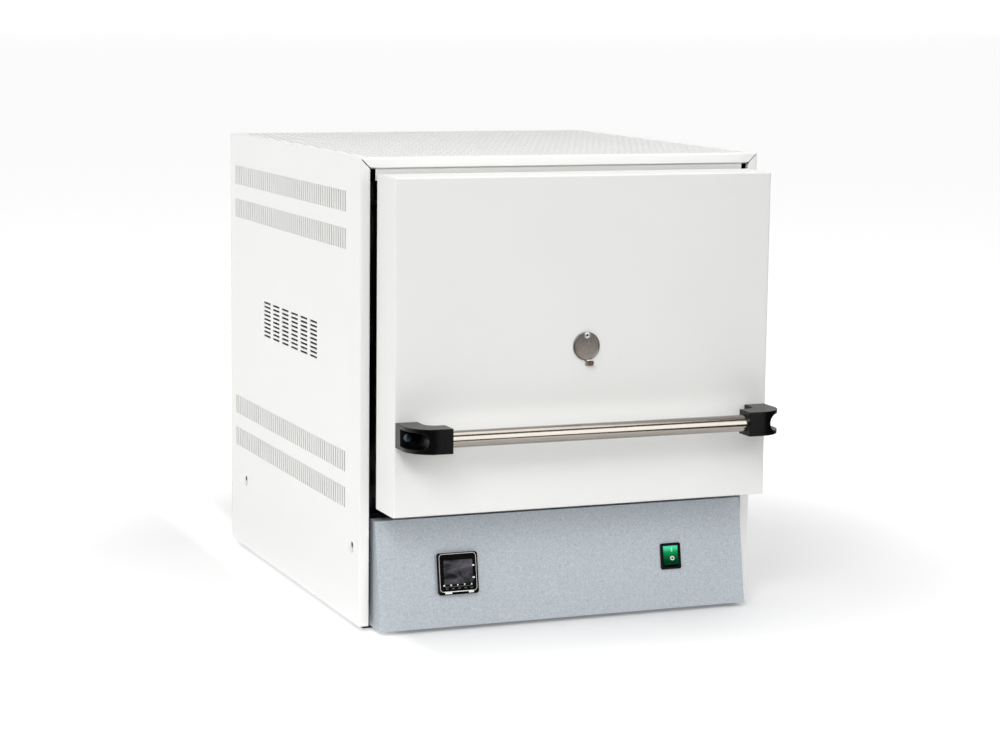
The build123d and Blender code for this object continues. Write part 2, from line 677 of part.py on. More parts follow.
with BuildPart() as right_pivot_bracket:
    mirror(left_pivot_bracket.part, about=Plane.YZ)
save(right_pivot_bracket, "right_pivot_bracket")

# Square plastic bearings that the cross shaft turns in
with BuildPart() as shaft_bearings:
    bearing_seat((-BEARING_X[1], -ARM_X[1] - 0.2))
    rod_x(SHAFT_R + 0.05, UPPER[0], UPPER[1], (-BEARING_X[1], -ARM_X[1] - 0.2), Mode.SUBTRACT)
    mirror(about=Plane.YZ)
save(shaft_bearings, "shaft_bearings")

# Fixed pins that the lower arms swing on
with BuildPart() as lower_pivot_pins:
    rod_x(PIN_R, LOWER[0], LOWER[1], (-BEARING_X[0], -ARM_X[0]))
    mirror(about=Plane.YZ)
save(lower_pivot_pins, "lower_pivot_pins")

# Swing arms: flat bars with round ends; both upper arms are fast on the cross shaft


def swing_arm(top, width, top_hole, foot_hole):
    """One flat bar hanging from its fixed pivot, on the left side."""
    with BuildPart() as bar:
        with BuildSketch(Plane.YZ.offset(-ARM_X[1])):
            with Locations((top[0], top[1] - ARM_L / 2)):
                SlotCenterToCenter(ARM_L, width, rotation=90)
            with Locations(top):
                Circle(top_hole, mode=Mode.SUBTRACT)
            with Locations((top[0], top[1] - ARM_L)):
                Circle(foot_hole, mode=Mode.SUBTRACT)
        extrude(amount=ARM_T)
    return bar


left_upper_arm = swing_arm(UPPER, UPPER_ARM_W, SHAFT_R, PIN_R + 0.05)
save(left_upper_arm, "left_upper_arm")

with BuildPart() as right_upper_arm:
    mirror(left_upper_arm.part, about=Plane.YZ)
save(right_upper_arm, "right_upper_arm")

with BuildPart() as cross_shaft:
    rod_x(SHAFT_R, UPPER[0], UPPER[1], (-BEARING_X[1] - 3.0, BEARING_X[1] + 3.0))
save(cross_shaft, "cross_shaft")

left_lower_arm = swing_arm(LOWER, LOWER_ARM_W, PIN_R + 0.05, PIN_R + 0.3)
save(left_lower_arm, "left_lower_arm")

with BuildPart() as right_lower_arm:
    mirror(left_lower_arm.part, about=Plane.YZ)
save(right_lower_arm, "right_lower_arm")

# Door shell: a deep folded tray with softly rounded edges, open at the back
TUBE_R = 10.0
TUBE_BORE = 7.5
HANDLE_SCREW_X = DOOR_W / 2 - 9.0
with BuildPart() as door_shell:
    block((-DOOR_W / 2, DOOR_W / 2), (DOOR_FACE, DOOR_BACK), DOOR_Z)
    fillet(door_shell.faces().sort_by(Axis.Y)[0].edges(), BEND_R)
    block(
        (-DOOR_W / 2 + SHEET, DOOR_W / 2 - SHEET),
        (DOOR_FACE + SHEET, DOOR_BACK),
        (DOOR_Z[0] + SHEET, DOOR_Z[1] - SHEET),
        Mode.SUBTRACT,
    )
    rod_y(TUBE_R, 0, CENTRE, (DOOR_FACE, DOOR_FACE + SHEET), Mode.SUBTRACT)
save(door_shell, "door_shell")

# Door hinge plates: they reach back from the shell's sides to the arms' moving ends
with BuildPart() as hinge_plates:
    with BuildSketch(Plane.YZ.offset(-HINGE_X[1])):
        with BuildLine():
            Polyline(
                (DOOR_FACE + 20.0, UPPER_END[1] + 14.0),
                (UPPER_END[0] + 10.0, UPPER_END[1] + 14.0),
                (LOWER_END[0] + 11.0, LOWER_END[1] + 14.0),
                (LOWER_END[0] + 11.0, LOWER_END[1] - 14.0),
                (DOOR_FACE + 20.0, LOWER_END[1] - 14.0),
                close=True,
            )
        make_face()
    extrude(amount=HINGE_X[1] - HINGE_X[0])
    mirror(about=Plane.YZ)
save(hinge_plates, "hinge_plates")

# Pins welded to the hinge plates, which the moving ends of the arms turn on
with BuildPart() as door_pivot_pins:
    for end in (UPPER_END, LOWER_END):
        rod_x(PIN_R, *end, (-ARM_X[1] - 0.1, -HINGE_X[1]))
    mirror(about=Plane.YZ)
save(door_pivot_pins, "door_pivot_pins")

# Door lining: stainless back plate, fibre slab inside and the plug that closes the mouth
LINING_X = HINGE_X[0] - 0.1
PLUG_X = 140.0
PLUG_Z = (CENTRE - 95.0, CENTRE + 95.0)
PLUG_BACK = COLLAR_FRONT - 0.6
with BuildPart() as door_inner_plate:
    block((-LINING_X, LINING_X), (DOOR_BACK - SHEET, DOOR_BACK), (DOOR_Z[0] + SHEET, DOOR_Z[1] - SHEET))
    rod_y(TUBE_R, 0, CENTRE, (DOOR_BACK - SHEET, DOOR_BACK), Mode.SUBTRACT)
save(door_inner_plate, "door_inner_plate")

with BuildPart() as door_insulation:
    block(
        (-LINING_X, LINING_X),
        (DOOR_FACE + SHEET + 4.0, DOOR_BACK - SHEET),
        (DOOR_Z[0] + SHEET, DOOR_Z[1] - SHEET),
    )
    rod_y(TUBE_R, 0, CENTRE, (DOOR_FACE, DOOR_BACK), Mode.SUBTRACT)
save(door_insulation, "door_insulation")

with BuildPart() as door_plug:
    with BuildSketch(Plane.XZ.offset(-DOOR_BACK)):
        with Locations((0, CENTRE)):
            Rectangle(2 * PLUG_X, PLUG_Z[1] - PLUG_Z[0])
            Circle(TUBE_R, mode=Mode.SUBTRACT)
    extrude(amount=-(PLUG_BACK - DOOR_BACK))
    chamfer(door_plug.faces().sort_by(Axis.Y)[-1].outer_wire().edges(), 6.0)
save(door_plug, "door_plug")

# Peephole: a tube through the door, with a hanging cover disc on a rivet
COVER_R = 16.2
COVER_SIDES = 48
COVER_T = 1.5
RIVET_UP = 12.6
RIVET_Z = CENTRE + RIVET_UP
COVER_BACK = DOOR_FACE - 0.7
TAB_H = 6.3
TAB_OUT = 5.2
with BuildPart() as peephole_tube:
    rod_y(TUBE_R, 0, CENTRE, (DOOR_FACE, PLUG_BACK))
    rod_y(TUBE_BORE, 0, CENTRE, (DOOR_FACE, PLUG_BACK), Mode.SUBTRACT)
save(peephole_tube, "peephole_tube")

with BuildPart() as peephole_rivet:
    with BuildSketch(Plane.XZ.offset(-DOOR_FACE)):
        with Locations((0, RIVET_Z)):
            RegularPolygon(2.0, SCREW_SIDES)
    extrude(amount=COVER_T + 1.0)
    with BuildSketch(Plane.XZ.offset(-DOOR_FACE + COVER_T + 1.0)):
        with Locations((0, RIVET_Z)):
            RegularPolygon(3.6, SCREW_SIDES)
    extrude(amount=1.0)
save(peephole_rivet, "peephole_rivet")

with BuildPart() as peephole_cover:
    with BuildSketch(Plane.XZ.offset(-COVER_BACK)):
        with Locations((0, CENTRE)):
            RegularPolygon(COVER_R, COVER_SIDES)
        with Locations((1.3, CENTRE - COVER_R - TAB_H / 2 + 1.5)):
            Rectangle(3.4, TAB_H + 3.0)
        with Locations((0, RIVET_Z)):
            Circle(2.08, mode=Mode.SUBTRACT)
    extrude(amount=COVER_T)
    with BuildSketch(Plane.XY.offset(CENTRE - COVER_R - TAB_H)):
        with BuildLine():
            Polyline(
                (1.0, COVER_BACK),
                (1.0, COVER_BACK - COVER_T),
                (2.4, COVER_BACK - COVER_T),
                (2.4 + TAB_OUT, COVER_BACK - COVER_T - TAB_OUT),
                (2.4 + TAB_OUT + 1.1, COVER_BACK - COVER_T - TAB_OUT + 1.1),
                (3.1, COVER_BACK),
                close=True,
            )
        make_face()
    extrude(amount=TAB_H)
save(peephole_cover, "peephole_cover")

# Handle: a steel tube in two moulded brackets, each curved round its outer corner
BRACKET_X = DOOR_W / 2 - 1.5
SOCKET_X = DOOR_W / 2 - BRACKET_L
FOOT_END = DOOR_W / 2 - 27.5
ARM_BACK = 30.0
FOOT_OUT = 24.0
CURVE_W = 30.0
POCKET_FLOOR = 16.0
POCKET_H = 19.0
with BuildPart() as handle_brackets:
    with BuildSketch(Plane.XY.offset(HANDLE_Z - BRACKET_H / 2)) as bracket_plan:
        with BuildLine():
            Polyline(
                (SOCKET_X, DOOR_FACE - ARM_BACK),
                (FOOT_END, DOOR_FACE - ARM_BACK),
                (FOOT_END, DOOR_FACE),
                (BRACKET_X, DOOR_FACE),
                (BRACKET_X, DOOR_FACE - FOOT_OUT),
            )
            EllipticalCenterArc(
                (BRACKET_X - CURVE_W, DOOR_FACE - FOOT_OUT),
                x_radius=CURVE_W,
                y_radius=BRACKET_OUT - FOOT_OUT,
                start_angle=270,
                arc_size=90,
            )
            Polyline(
                (BRACKET_X - CURVE_W, DOOR_FACE - BRACKET_OUT),
                (SOCKET_X, DOOR_FACE - BRACKET_OUT),
                (SOCKET_X, DOOR_FACE - ARM_BACK),
            )
        make_face()
        fillet(bracket_plan.vertices().sort_by_distance((FOOT_END, DOOR_FACE - ARM_BACK, 0))[0], 12.0)
    extrude(amount=BRACKET_H)
    with BuildSketch(Plane.XZ.offset(-DOOR_FACE + POCKET_FLOOR)):
        with Locations((DOOR_W / 2 + 9.5, HANDLE_Z)):
            SlotOverall(2 * 31.0, POCKET_H)
    extrude(amount=BRACKET_OUT, mode=Mode.SUBTRACT)
    socket = (SOCKET_X, SOCKET_X + 22.0)
    rod_x(HANDLE_R + 0.02, DOOR_FACE - HANDLE_OUT, HANDLE_Z, socket, Mode.SUBTRACT)
    mirror(about=Plane.YZ)
save(handle_brackets, "handle_brackets")

with BuildPart() as handle_tube:
    rod_x(HANDLE_R, DOOR_FACE - HANDLE_OUT, HANDLE_Z, (-SOCKET_X - 22.0, SOCKET_X + 22.0))
    rod_x(
        HANDLE_R - HANDLE_WALL,
        DOOR_FACE - HANDLE_OUT,
        HANDLE_Z,
        (-SOCKET_X - 22.0, SOCKET_X + 22.0),
        Mode.SUBTRACT,
    )
save(handle_tube, "handle_tube")

with BuildPart() as handle_screws:
    with BuildSketch(Plane.XZ.offset(-DOOR_FACE + POCKET_FLOOR)):
        with Locations((HANDLE_SCREW_X, HANDLE_Z), (-HANDLE_SCREW_X, HANDLE_Z)):
            RegularPolygon(4.6, SCREW_SIDES)
    extrude(amount=3.0)
save(handle_screws, "handle_screws")
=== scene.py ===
# %% [markdown]
# # A bench muffle furnace, dressed for its picture
#
# The furnace's solids come ready from the frame, with the joints of its lifting door. This lesson
# gives them their finishes, and adds what is too fine for the solids: the full rows of slots in
# the sides, the pierced top, the marks on the controller and the switch, and the bright rims of
# the peephole.

import json
from math import atan2, cos, pi, radians, sin

import bmesh
import bpy
import numpy as np
from mathutils import Matrix, Vector


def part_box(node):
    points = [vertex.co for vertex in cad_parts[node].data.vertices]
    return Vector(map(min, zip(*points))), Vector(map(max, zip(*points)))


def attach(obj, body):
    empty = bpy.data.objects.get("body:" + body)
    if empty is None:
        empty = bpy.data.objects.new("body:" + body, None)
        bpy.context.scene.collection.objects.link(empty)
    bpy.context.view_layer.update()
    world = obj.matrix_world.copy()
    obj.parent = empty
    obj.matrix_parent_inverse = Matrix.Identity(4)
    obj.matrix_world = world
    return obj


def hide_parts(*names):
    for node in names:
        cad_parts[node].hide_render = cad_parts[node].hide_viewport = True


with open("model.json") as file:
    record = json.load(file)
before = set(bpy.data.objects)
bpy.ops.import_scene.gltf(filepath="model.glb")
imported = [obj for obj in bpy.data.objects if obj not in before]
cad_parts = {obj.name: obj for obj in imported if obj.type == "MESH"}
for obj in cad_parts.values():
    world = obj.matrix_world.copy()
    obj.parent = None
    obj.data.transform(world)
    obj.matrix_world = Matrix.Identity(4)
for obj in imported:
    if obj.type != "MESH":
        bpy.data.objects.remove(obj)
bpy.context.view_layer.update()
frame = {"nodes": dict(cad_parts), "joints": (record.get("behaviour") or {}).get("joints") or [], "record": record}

# %% [markdown]
# ## Sizes read from the frame
#
# The cabinet's outline, the sheet's thickness and the slope of the control panel could be typed
# in again, but then they would drift apart from the solids. They are measured on the nodes
# instead, so each new piece sits exactly where its solid is.

# %% Measure the cabinet and the control panel
MM = 0.001
panel_low, panel_high = (np.array(corner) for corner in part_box("left_side_panel"))
SIDE_X = -panel_low[0]
FRONT_Y = panel_low[1]
SIDE_REAR_Y = panel_high[1]
BASE_Z = panel_low[2]
TOP_Z = panel_high[2]
SHEET = 1.2 * MM
FLANGE = 12 * MM
LIP = 10 * MM
REAR_FLANGE = 18 * MM
BEND_R = 2.0 * MM

joints = {joint["name"]: joint for joint in frame["joints"]}
PANEL_OUT = -np.array(joints["key_1_press"]["axis"], float)
PANEL_RIGHT = np.array((1.0, 0.0, 0.0))
PANEL_UP = np.cross(PANEL_OUT, PANEL_RIGHT)


def node_points(name):
    """All corners of one solid, as rows of x, y, z."""
    mesh = frame["nodes"][name].data
    points = np.empty(3 * len(mesh.vertices), np.float32)
    mesh.vertices.foreach_get("co", points)
    return points.reshape(-1, 3).astype(float)


def face_centre(name, out, right, up):
    """The middle of a solid's outermost face: half way along right and up, furthest along out."""
    points = node_points(name)
    along = [points @ axis for axis in (right, up, out)]
    middle = [(values.min() + values.max()) / 2 for values in along]
    return right * middle[0] + up * middle[1] + out * along[2].max()


print("cabinet:", np.round([2 * SIDE_X, SIDE_REAR_Y - FRONT_Y, TOP_Z - BASE_Z], 4))
print("panel leans", round(float(np.degrees(np.arcsin(PANEL_OUT[2]))), 2), "degrees")

# %% [markdown]
# ## A piece from a grid of points
#
# A mesh could be built face by face with bmesh, but the surfaces here are all formulas on grids.
# It is shorter to compute every corner at once with numpy and hand the arrays to the mesh.

# %% Helpers that turn arrays into a piece
def make_piece(name, points, faces, material, body, smooth=False):
    """A mesh object at the origin from corner points and lists of faces, riding on its body."""
    mesh = bpy.data.meshes.new(name)
    mesh.from_pydata(np.asarray(points).tolist(), [], [list(map(int, face)) for face in faces])
    mesh.materials.append(material)
    mesh.shade_flat()
    if smooth:
        mesh.shade_smooth()
        mesh.set_sharp_from_angle(angle=radians(30))
    piece = bpy.data.objects.new(name, mesh)
    bpy.context.scene.collection.objects.link(piece)
    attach(piece, body)
    print(name, "faces:", len(mesh.polygons))
    return piece


def prism(outline, low, high, origin, right, up, out):
    """Closed prism: a flat outline in right and up, carried along out from low to high."""
    outline = np.asarray(outline, float)
    count = len(outline)
    flat = outline[:, :1] * right + outline[:, 1:] * up + origin
    points = np.concatenate([flat + out * low, flat + out * high])
    ring = np.arange(count)
    following = (ring + 1) % count
    sides = np.stack([ring, following, following + count, ring + count], 1).tolist()
    return points, [ring[::-1].tolist(), (ring + count).tolist()] + sides


def band(outer, inner, low, high, origin, right, up, out):
    """Closed flat ring between two outlines with as many points each, raised from low to high."""
    count = len(outer)
    outer, inner = (line[:, :1] * right + line[:, 1:] * up + origin for line in (outer, inner))
    points = np.concatenate([outer + out * low, outer + out * high, inner + out * high, inner + out * low])
    ring = np.arange(count)
    following = (ring + 1) % count
    faces = []
    for level in range(4):
        here = level * count
        there = (level + 1) % 4 * count
        faces += np.stack([ring + here, following + here, following + there, ring + there], 1).tolist()
    return points, faces


def lathed(profile, x, z, steps=64):
    """Ring or disc turned about a line along Y: the closed profile gives each corner's radius and y.

    A corner at radius r becomes a circle (x + r cos t, y, z + r sin t). Where the profile starts and
    ends on the axis, those two corners stay single points.
    """
    turn = np.arange(steps) * 2 * pi / steps
    points, rings = [], []
    for radius, y in profile:
        if radius == 0:
            rings.append(np.full(steps, len(points)))
            points.append((x, y, z))
        else:
            rings.append(len(points) + np.arange(steps))
            ring = [x + radius * np.cos(turn), np.full(steps, y), z + radius * np.sin(turn)]
            points += np.stack(ring, 1).tolist()
    faces = []
    solid = profile[0][0] == 0
    for here, there in zip(rings, rings[1:] if solid else rings[1:] + rings[:1]):
        for quad in np.stack([here, there, np.roll(there, -1), np.roll(here, -1)], 1).tolist():
            faces.append(list(dict.fromkeys(quad)))
    return np.array(points), faces


def rounded_rectangle(width, height, radius, steps=6):
    """A rectangle's outline with a quarter circle of steps points at each corner."""
    turn = np.linspace(0, pi / 2, steps)
    corners = [(1, -1, -pi / 2), (1, 1, 0), (-1, 1, pi / 2), (-1, -1, pi)]
    lines = [
        np.stack(
            [
                x * (width / 2 - radius) + radius * np.cos(turn + start),
                y * (height / 2 - radius) + radius * np.sin(turn + start),
            ],
            1,
        )
        for x, y, start in corners
    ]
    return np.concatenate(lines)


def circle(radius, steps):
    """Points round a circle, a radius away from its middle."""
    turn = np.arange(steps) * 2 * pi / steps
    return np.stack([radius * np.cos(turn), radius * np.sin(turn)], 1)


# %% [markdown]
# ## The camera
#
# The photograph's view is a long lens at table height, a little above the furnace and to its
# left. The camera's place and turn could be found by eye, but the cabinet's straight edges fix
# them: the values below come from fitting its corners.

# %% Place the camera
CAMERA_AT = Vector((-1.1712, -2.9526, 0.7209))
LOOK_RIGHT = radians(21.803)
LOOK_DOWN = radians(8.317)
ROLL = radians(0.64)
FOCAL_PIXELS = 2586.3
FRAME_PIXELS = 1000

forward = Vector((sin(LOOK_RIGHT) * cos(LOOK_DOWN), cos(LOOK_RIGHT) * cos(LOOK_DOWN), -sin(LOOK_DOWN)))
level = Vector((cos(LOOK_RIGHT), -sin(LOOK_RIGHT), 0.0))
above = level.cross(forward)
right = level * cos(ROLL) + above * sin(ROLL)
upward = above * cos(ROLL) - level * sin(ROLL)
camera_data = bpy.data.cameras.new("photo_camera")
camera_data.sensor_width = 36.0
camera_data.lens = FOCAL_PIXELS / FRAME_PIXELS * camera_data.sensor_width
camera_data.clip_end = 100.0
camera = bpy.data.objects.new("photo_camera", camera_data)
turned = Matrix((right, upward, -forward)).transposed().to_4x4()
camera.matrix_world = Matrix.Translation(CAMERA_AT) @ turned
bpy.context.scene.collection.objects.link(camera)
bpy.context.scene.camera = camera
print("lens:", round(camera_data.lens, 1), "mm")

# %% [markdown]
# ## Adding nodes
#
# Every finish here is a small tree of shader nodes. One function adds a node with its settings
# and its inputs, where an input is either a plain value or another node's output. Most finishes
# need a noise, two tones, an uneven gloss and a relief, so each of these has a short function.

# %% Helpers for colours and shader nodes
def linear(code):
    """sRGB hex code to linear red, green, blue and alpha."""
    parts = np.array([int(code[i : i + 2], 16) / 255 for i in (1, 3, 5)])
    curve = np.where(parts <= 0.04045, parts / 12.92, ((parts + 0.055) / 1.055) ** 2.4)
    return (*curve.tolist(), 1.0)


def add(tree, kind, inputs=None, **settings):
    """Add one node, set its properties, and fill or link its inputs."""
    node = tree.nodes.new(kind)
    for name, value in settings.items():
        setattr(node, name, value)
    for name, value in (inputs or {}).items():
        if isinstance(value, bpy.types.NodeSocket):
            tree.links.new(value, node.inputs[name])
        else:
            node.inputs[name].default_value = value
    return node


def new_finish(name, **shader):
    """A material with one Principled shader, and the object's own coordinates to draw on."""
    finish = bpy.data.materials.new(name)
    finish.use_nodes = True
    tree = finish.node_tree
    principled = tree.nodes["Principled BSDF"]
    for socket, value in shader.items():
        principled.inputs[socket.replace("_", " ")].default_value = value
    place = add(tree, "ShaderNodeTexCoord").outputs["Object"]
    return finish, tree, principled, place


def per_mm(size):
    """The scale of a pattern whose features are this many millimetres across."""
    return 1.0 / (size * MM)


def noise(tree, place, size, detail=2.0, **more):
    """The output of a noise whose features are this many millimetres across."""
    inputs = {"Vector": place, "Scale": per_mm(size), "Detail": detail}
    return add(tree, "ShaderNodeTexNoise", inputs | more).outputs["Fac"]


def two_tones(tree, principled, share, first, second):
    """Let a share from 0 to 1 mix the base colour from two tones."""
    tone = add(tree, "ShaderNodeMix", {"Factor": share}, data_type="RGBA")
    tone.inputs[6].default_value = linear(first)
    tone.inputs[7].default_value = linear(second)
    tree.links.new(tone.outputs[2], principled.inputs["Base Color"])


def uneven_gloss(tree, principled, pattern, least, most):
    """Let a pattern move the roughness between two values."""
    gloss = add(tree, "ShaderNodeMapRange", {"Value": pattern, "To Min": least, "To Max": most})
    tree.links.new(gloss.outputs["Result"], principled.inputs["Roughness"])


def relief(tree, principled, pattern, strength, depth):
    """Turn a pattern into a relief that is this many millimetres deep."""
    bump = add(tree, "ShaderNodeBump", {"Height": pattern, "Strength": strength, "Distance": depth * MM})
    tree.links.new(bump.outputs["Normal"], principled.inputs["Normal"])
    return bump


# %% [markdown]
# ## Powder coat on the cabinet
#
# The cabinet and the door are sheet steel with white polyester powder coat, sprayed dry and
# baked. The powder flows out into a very fine orange peel, which breaks reflections up into a
# soft sheen. A flat white would look like paper, so two noises drive the colour, the roughness
# and a shallow bump.

# %% Finish: white powder coat
def powder_coat(name, base, shade, roughness):
    """Two close whites in soft clouds, under an orange peel of about 1.6 mm."""
    finish, tree, principled, place = new_finish(name, IOR=1.5)
    two_tones(tree, principled, noise(tree, place, 140), base, shade)
    # The real peel is about 0.5 mm; it is drawn three times as coarse, so that it shows at all.
    peel = noise(tree, place, 1.6, 3.0)
    uneven_gloss(tree, principled, peel, roughness - 0.06, roughness + 0.08)
    relief(tree, principled, peel, 0.3, 0.09)
    return finish


cabinet_coat = powder_coat("powder_coat_cabinet", "#EFEFED", "#EBEBE9", 0.5)
door_coat = powder_coat("powder_coat_door", "#EAEAE8", "#E6E6E4", 0.48)
print("powder coats:", cabinet_coat.name, door_coat.name)

# %% [markdown]
# ## Hammer paint on the control panel
#
# The panel is stoved with a blue-grey hammer paint. Aluminium flakes and silicone in the paint
# pull it into shallow dimples as it dries, and each dimple catches the light by itself, which
# gives the eye a fine metallic sparkle. Cells from a Voronoi texture make the dimples, and the
# flakes are a second, finer noise in the colour.

# %% Finish: hammer paint
def hammer_paint():
    """Blue-grey flakes between two tones, over dimples about 2.4 mm across."""
    finish, tree, principled, place = new_finish(
        "hammer_paint_blue_grey", IOR=1.5, Metallic=0.15, Roughness=0.42
    )
    dimples = add(tree, "ShaderNodeTexVoronoi", {"Vector": place, "Scale": per_mm(2.4)}, feature="SMOOTH_F1")
    flakes = noise(tree, place, 1.8, 4.0, Roughness=0.65)
    spread = add(tree, "ShaderNodeMapRange", {"Value": flakes, "From Min": 0.34, "From Max": 0.66})
    two_tones(tree, principled, spread.outputs["Result"], "#9DA4AB", "#BAC2C8")
    height = add(tree, "ShaderNodeMath", {0: dimples.outputs["Distance"], 1: flakes}, operation="MULTIPLY")
    relief(tree, principled, height.outputs["Value"], 0.5, 0.35)
    return finish


panel_paint = hammer_paint()
print("panel paint:", panel_paint.name)

# %% [markdown]
# ## Metals
#
# The handle tube is stainless steel brushed along its length, the hidden brackets, linkage and
# plates round the chamber are black as painted shade, and the peephole's cover is plain stainless
# sheet with years of scratches. Each gets a metallic shader at its default IOR, and a noise
# stretched along the grain.

# %% Finish: metals
ALONG_X = (0.02, 1.0, 1.0)
EVEN = (1.0, 1.0, 1.0)


def grained_metal(name, light, dark, grain, roughness, bump_depth=0.02, stretch=ALONG_X):
    """Metal with streaks: a noise squeezed to grain mm across and stretched along one axis."""
    finish, tree, principled, place = new_finish(name, Metallic=1.0)
    mapped = add(tree, "ShaderNodeMapping", {"Vector": place, "Scale": stretch})
    streaks = noise(tree, mapped.outputs["Vector"], grain, 5.0, Roughness=0.6)
    two_tones(tree, principled, streaks, dark, light)
    uneven_gloss(tree, principled, streaks, roughness - 0.07, roughness + 0.09)
    relief(tree, principled, streaks, 0.3, bump_depth)
    return finish


tube_steel = grained_metal("stainless_brushed_tube", "#ABA59D", "#8C867F", 0.8, 0.15)
plate_steel = grained_metal("stainless_plate", "#B9B7B3", "#9F9D99", 0.9, 0.34)
cover_steel = grained_metal("stainless_scratched", "#968F88", "#534E49", 2.4, 0.36, 0.12, (1.0, 1.0, 0.6))
zinc_plate = grained_metal("zinc_plated_steel", "#C3C7C9", "#A7ACAF", 4.0, 0.33, 0.02, EVEN)
turned_steel = grained_metal("turned_steel", "#D2D2D0", "#B4B4B2", 0.5, 0.22, 0.01, EVEN)
ground_aluminium = grained_metal("extruded_aluminium", "#C9CBCD", "#B2B4B7", 0.7, 0.3)
blade_brass = grained_metal("tinned_brass", "#D8C48C", "#BFA868", 0.6, 0.28)
tab_steel = grained_metal("heat_tinted_steel", "#A98F7C", "#7F6A5B", 1.0, 0.4, 0.02, EVEN)
# The linkage behind the door, the front plate, the inner casing and the shelf get a black steel
# finish as painted shade, so the slits round the door stay as dark as the shaded space behind them.
shade_black_steel = grained_metal("steel_black_painted_shade", "#1A1A1C", "#101012", 2.0, 0.5, 0.02, EVEN)
# The handle screws' steel is drawn pale and bluish so that a glint shows in the dark pocket: a painted highlight.
screw_steel_painted_glint = grained_metal("pale_steel_painted_glint", "#9FB0C0", "#66727E", 1.0, 0.25, 0.02, EVEN)
bright_screw = grained_metal("nickel_plated_screw", "#EDEAE4", "#D6D2CB", 1.5, 0.4, 0.02, EVEN)
print("metals: 11")

# %% [markdown]
# ## Plastics and rubber
#
# The handle brackets and the controller are injection-moulded in black nylon and ABS with a
# spark-eroded grain, and the switch is glossier. The grain is a fine noise in the bump, and a
# Bevel node rounds the moulded edges for the light, as a mould does.

# %% Finish: moulded plastics
def moulded_plastic(name, base, worn, roughness, grain=0.6, depth=0.03, edge=0.0, **shader):
    """Moulded plastic: a slight change of tone, a fine eroded grain and soft edges."""
    finish, tree, principled, place = new_finish(name, IOR=1.52, **shader)
    two_tones(tree, principled, noise(tree, place, 18, 3.0), base, worn)
    eroded = noise(tree, place, grain)
    uneven_gloss(tree, principled, eroded, roughness - 0.05, roughness + 0.07)
    bump = relief(tree, principled, eroded, 0.3, depth)
    if edge:
        rounded = add(tree, "ShaderNodeBevel", {"Radius": edge * MM}, samples=6)
        tree.links.new(rounded.outputs["Normal"], bump.inputs["Normal"])
    return finish


bracket_nylon = moulded_plastic(
    "glass_filled_nylon_black", "#040304", "#070607", 0.27, edge=1.0, Specular_IOR_Level=0.2
)
switch_black = moulded_plastic(
    "polycarbonate_black", "#010101", "#040404", 0.3, edge=0.6, Specular_IOR_Level=0.06
)
controller_abs = moulded_plastic("abs_black", "#010101", "#030303", 0.4, edge=0.8, Specular_IOR_Level=0.04)
frame_grey = moulded_plastic("abs_silver_line", "#B9B6B2", "#A3A09C", 0.35)
terminal_black = moulded_plastic("phenolic_black", "#1A1918", "#232120", 0.45)
# A near-black for the rivet's bore: painted shade of its hollow.
rivet_bore_painted_shade = moulded_plastic("shadowed_bore", "#0A0909", "#121110", 0.6)
bearing_nylon = moulded_plastic("nylon_natural", "#DEDBD0", "#D2CFC4", 0.45)
foot_rubber = moulded_plastic("moulded_rubber_black", "#171717", "#202020", 0.75, grain=1.2, depth=0.08)
mark_white = moulded_plastic("printed_white", "#E8ECE8", "#DDE2DD", 0.5)
mark_dim = moulded_plastic("printed_grey", "#7C7B79", "#6A6967", 0.5)
mark_mint = moulded_plastic("printed_mint", "#A9E6CF", "#93D8BE", 0.5)
print("plastics: 11")

# %% [markdown]
# ## The dark display
#
# The controller is off, so its window is only smoked acrylic. Soft grey clouds over the black
# are painted reflections of the room.

# %% Finish: smoked acrylic with painted reflections
def smoked_acrylic_painted_reflection():
    """Black with grey clouds about 16 mm across, drawn out sideways: painted reflections."""
    finish, tree, principled, place = new_finish("acrylic_smoked_painted_reflection", Roughness=0.15, Specular_IOR_Level=0.05)
    mapped = add(tree, "ShaderNodeMapping", {"Vector": place, "Scale": (0.6, 1.0, 1.2)})
    clouds = noise(tree, mapped.outputs["Vector"], 16, 5.0, Roughness=0.6, Distortion=0.6)
    spread = add(tree, "ShaderNodeMapRange", {"Value": clouds, "From Min": 0.36, "From Max": 0.66})
    # The greys over the black are painted reflections.
    two_tones(tree, principled, spread.outputs["Result"], "#0A0A0D", "#55545A")
    return finish


display_painted_reflection = smoked_acrylic_painted_reflection()
print("display:", display_painted_reflection.name)

# %% [markdown]
# ## The green cap of the switch
#
# The rocker is moulded in clear green. Its colour is painted pale towards the upper end as a
# painted highlight, and it deepens towards the lower end as painted shade. The change is drawn
# along the panel's slope in the rocker's own coordinates, so it turns with it.

# %% Finish: clear green with a painted highlight at its upper end
CAP_HALF = 11 * MM


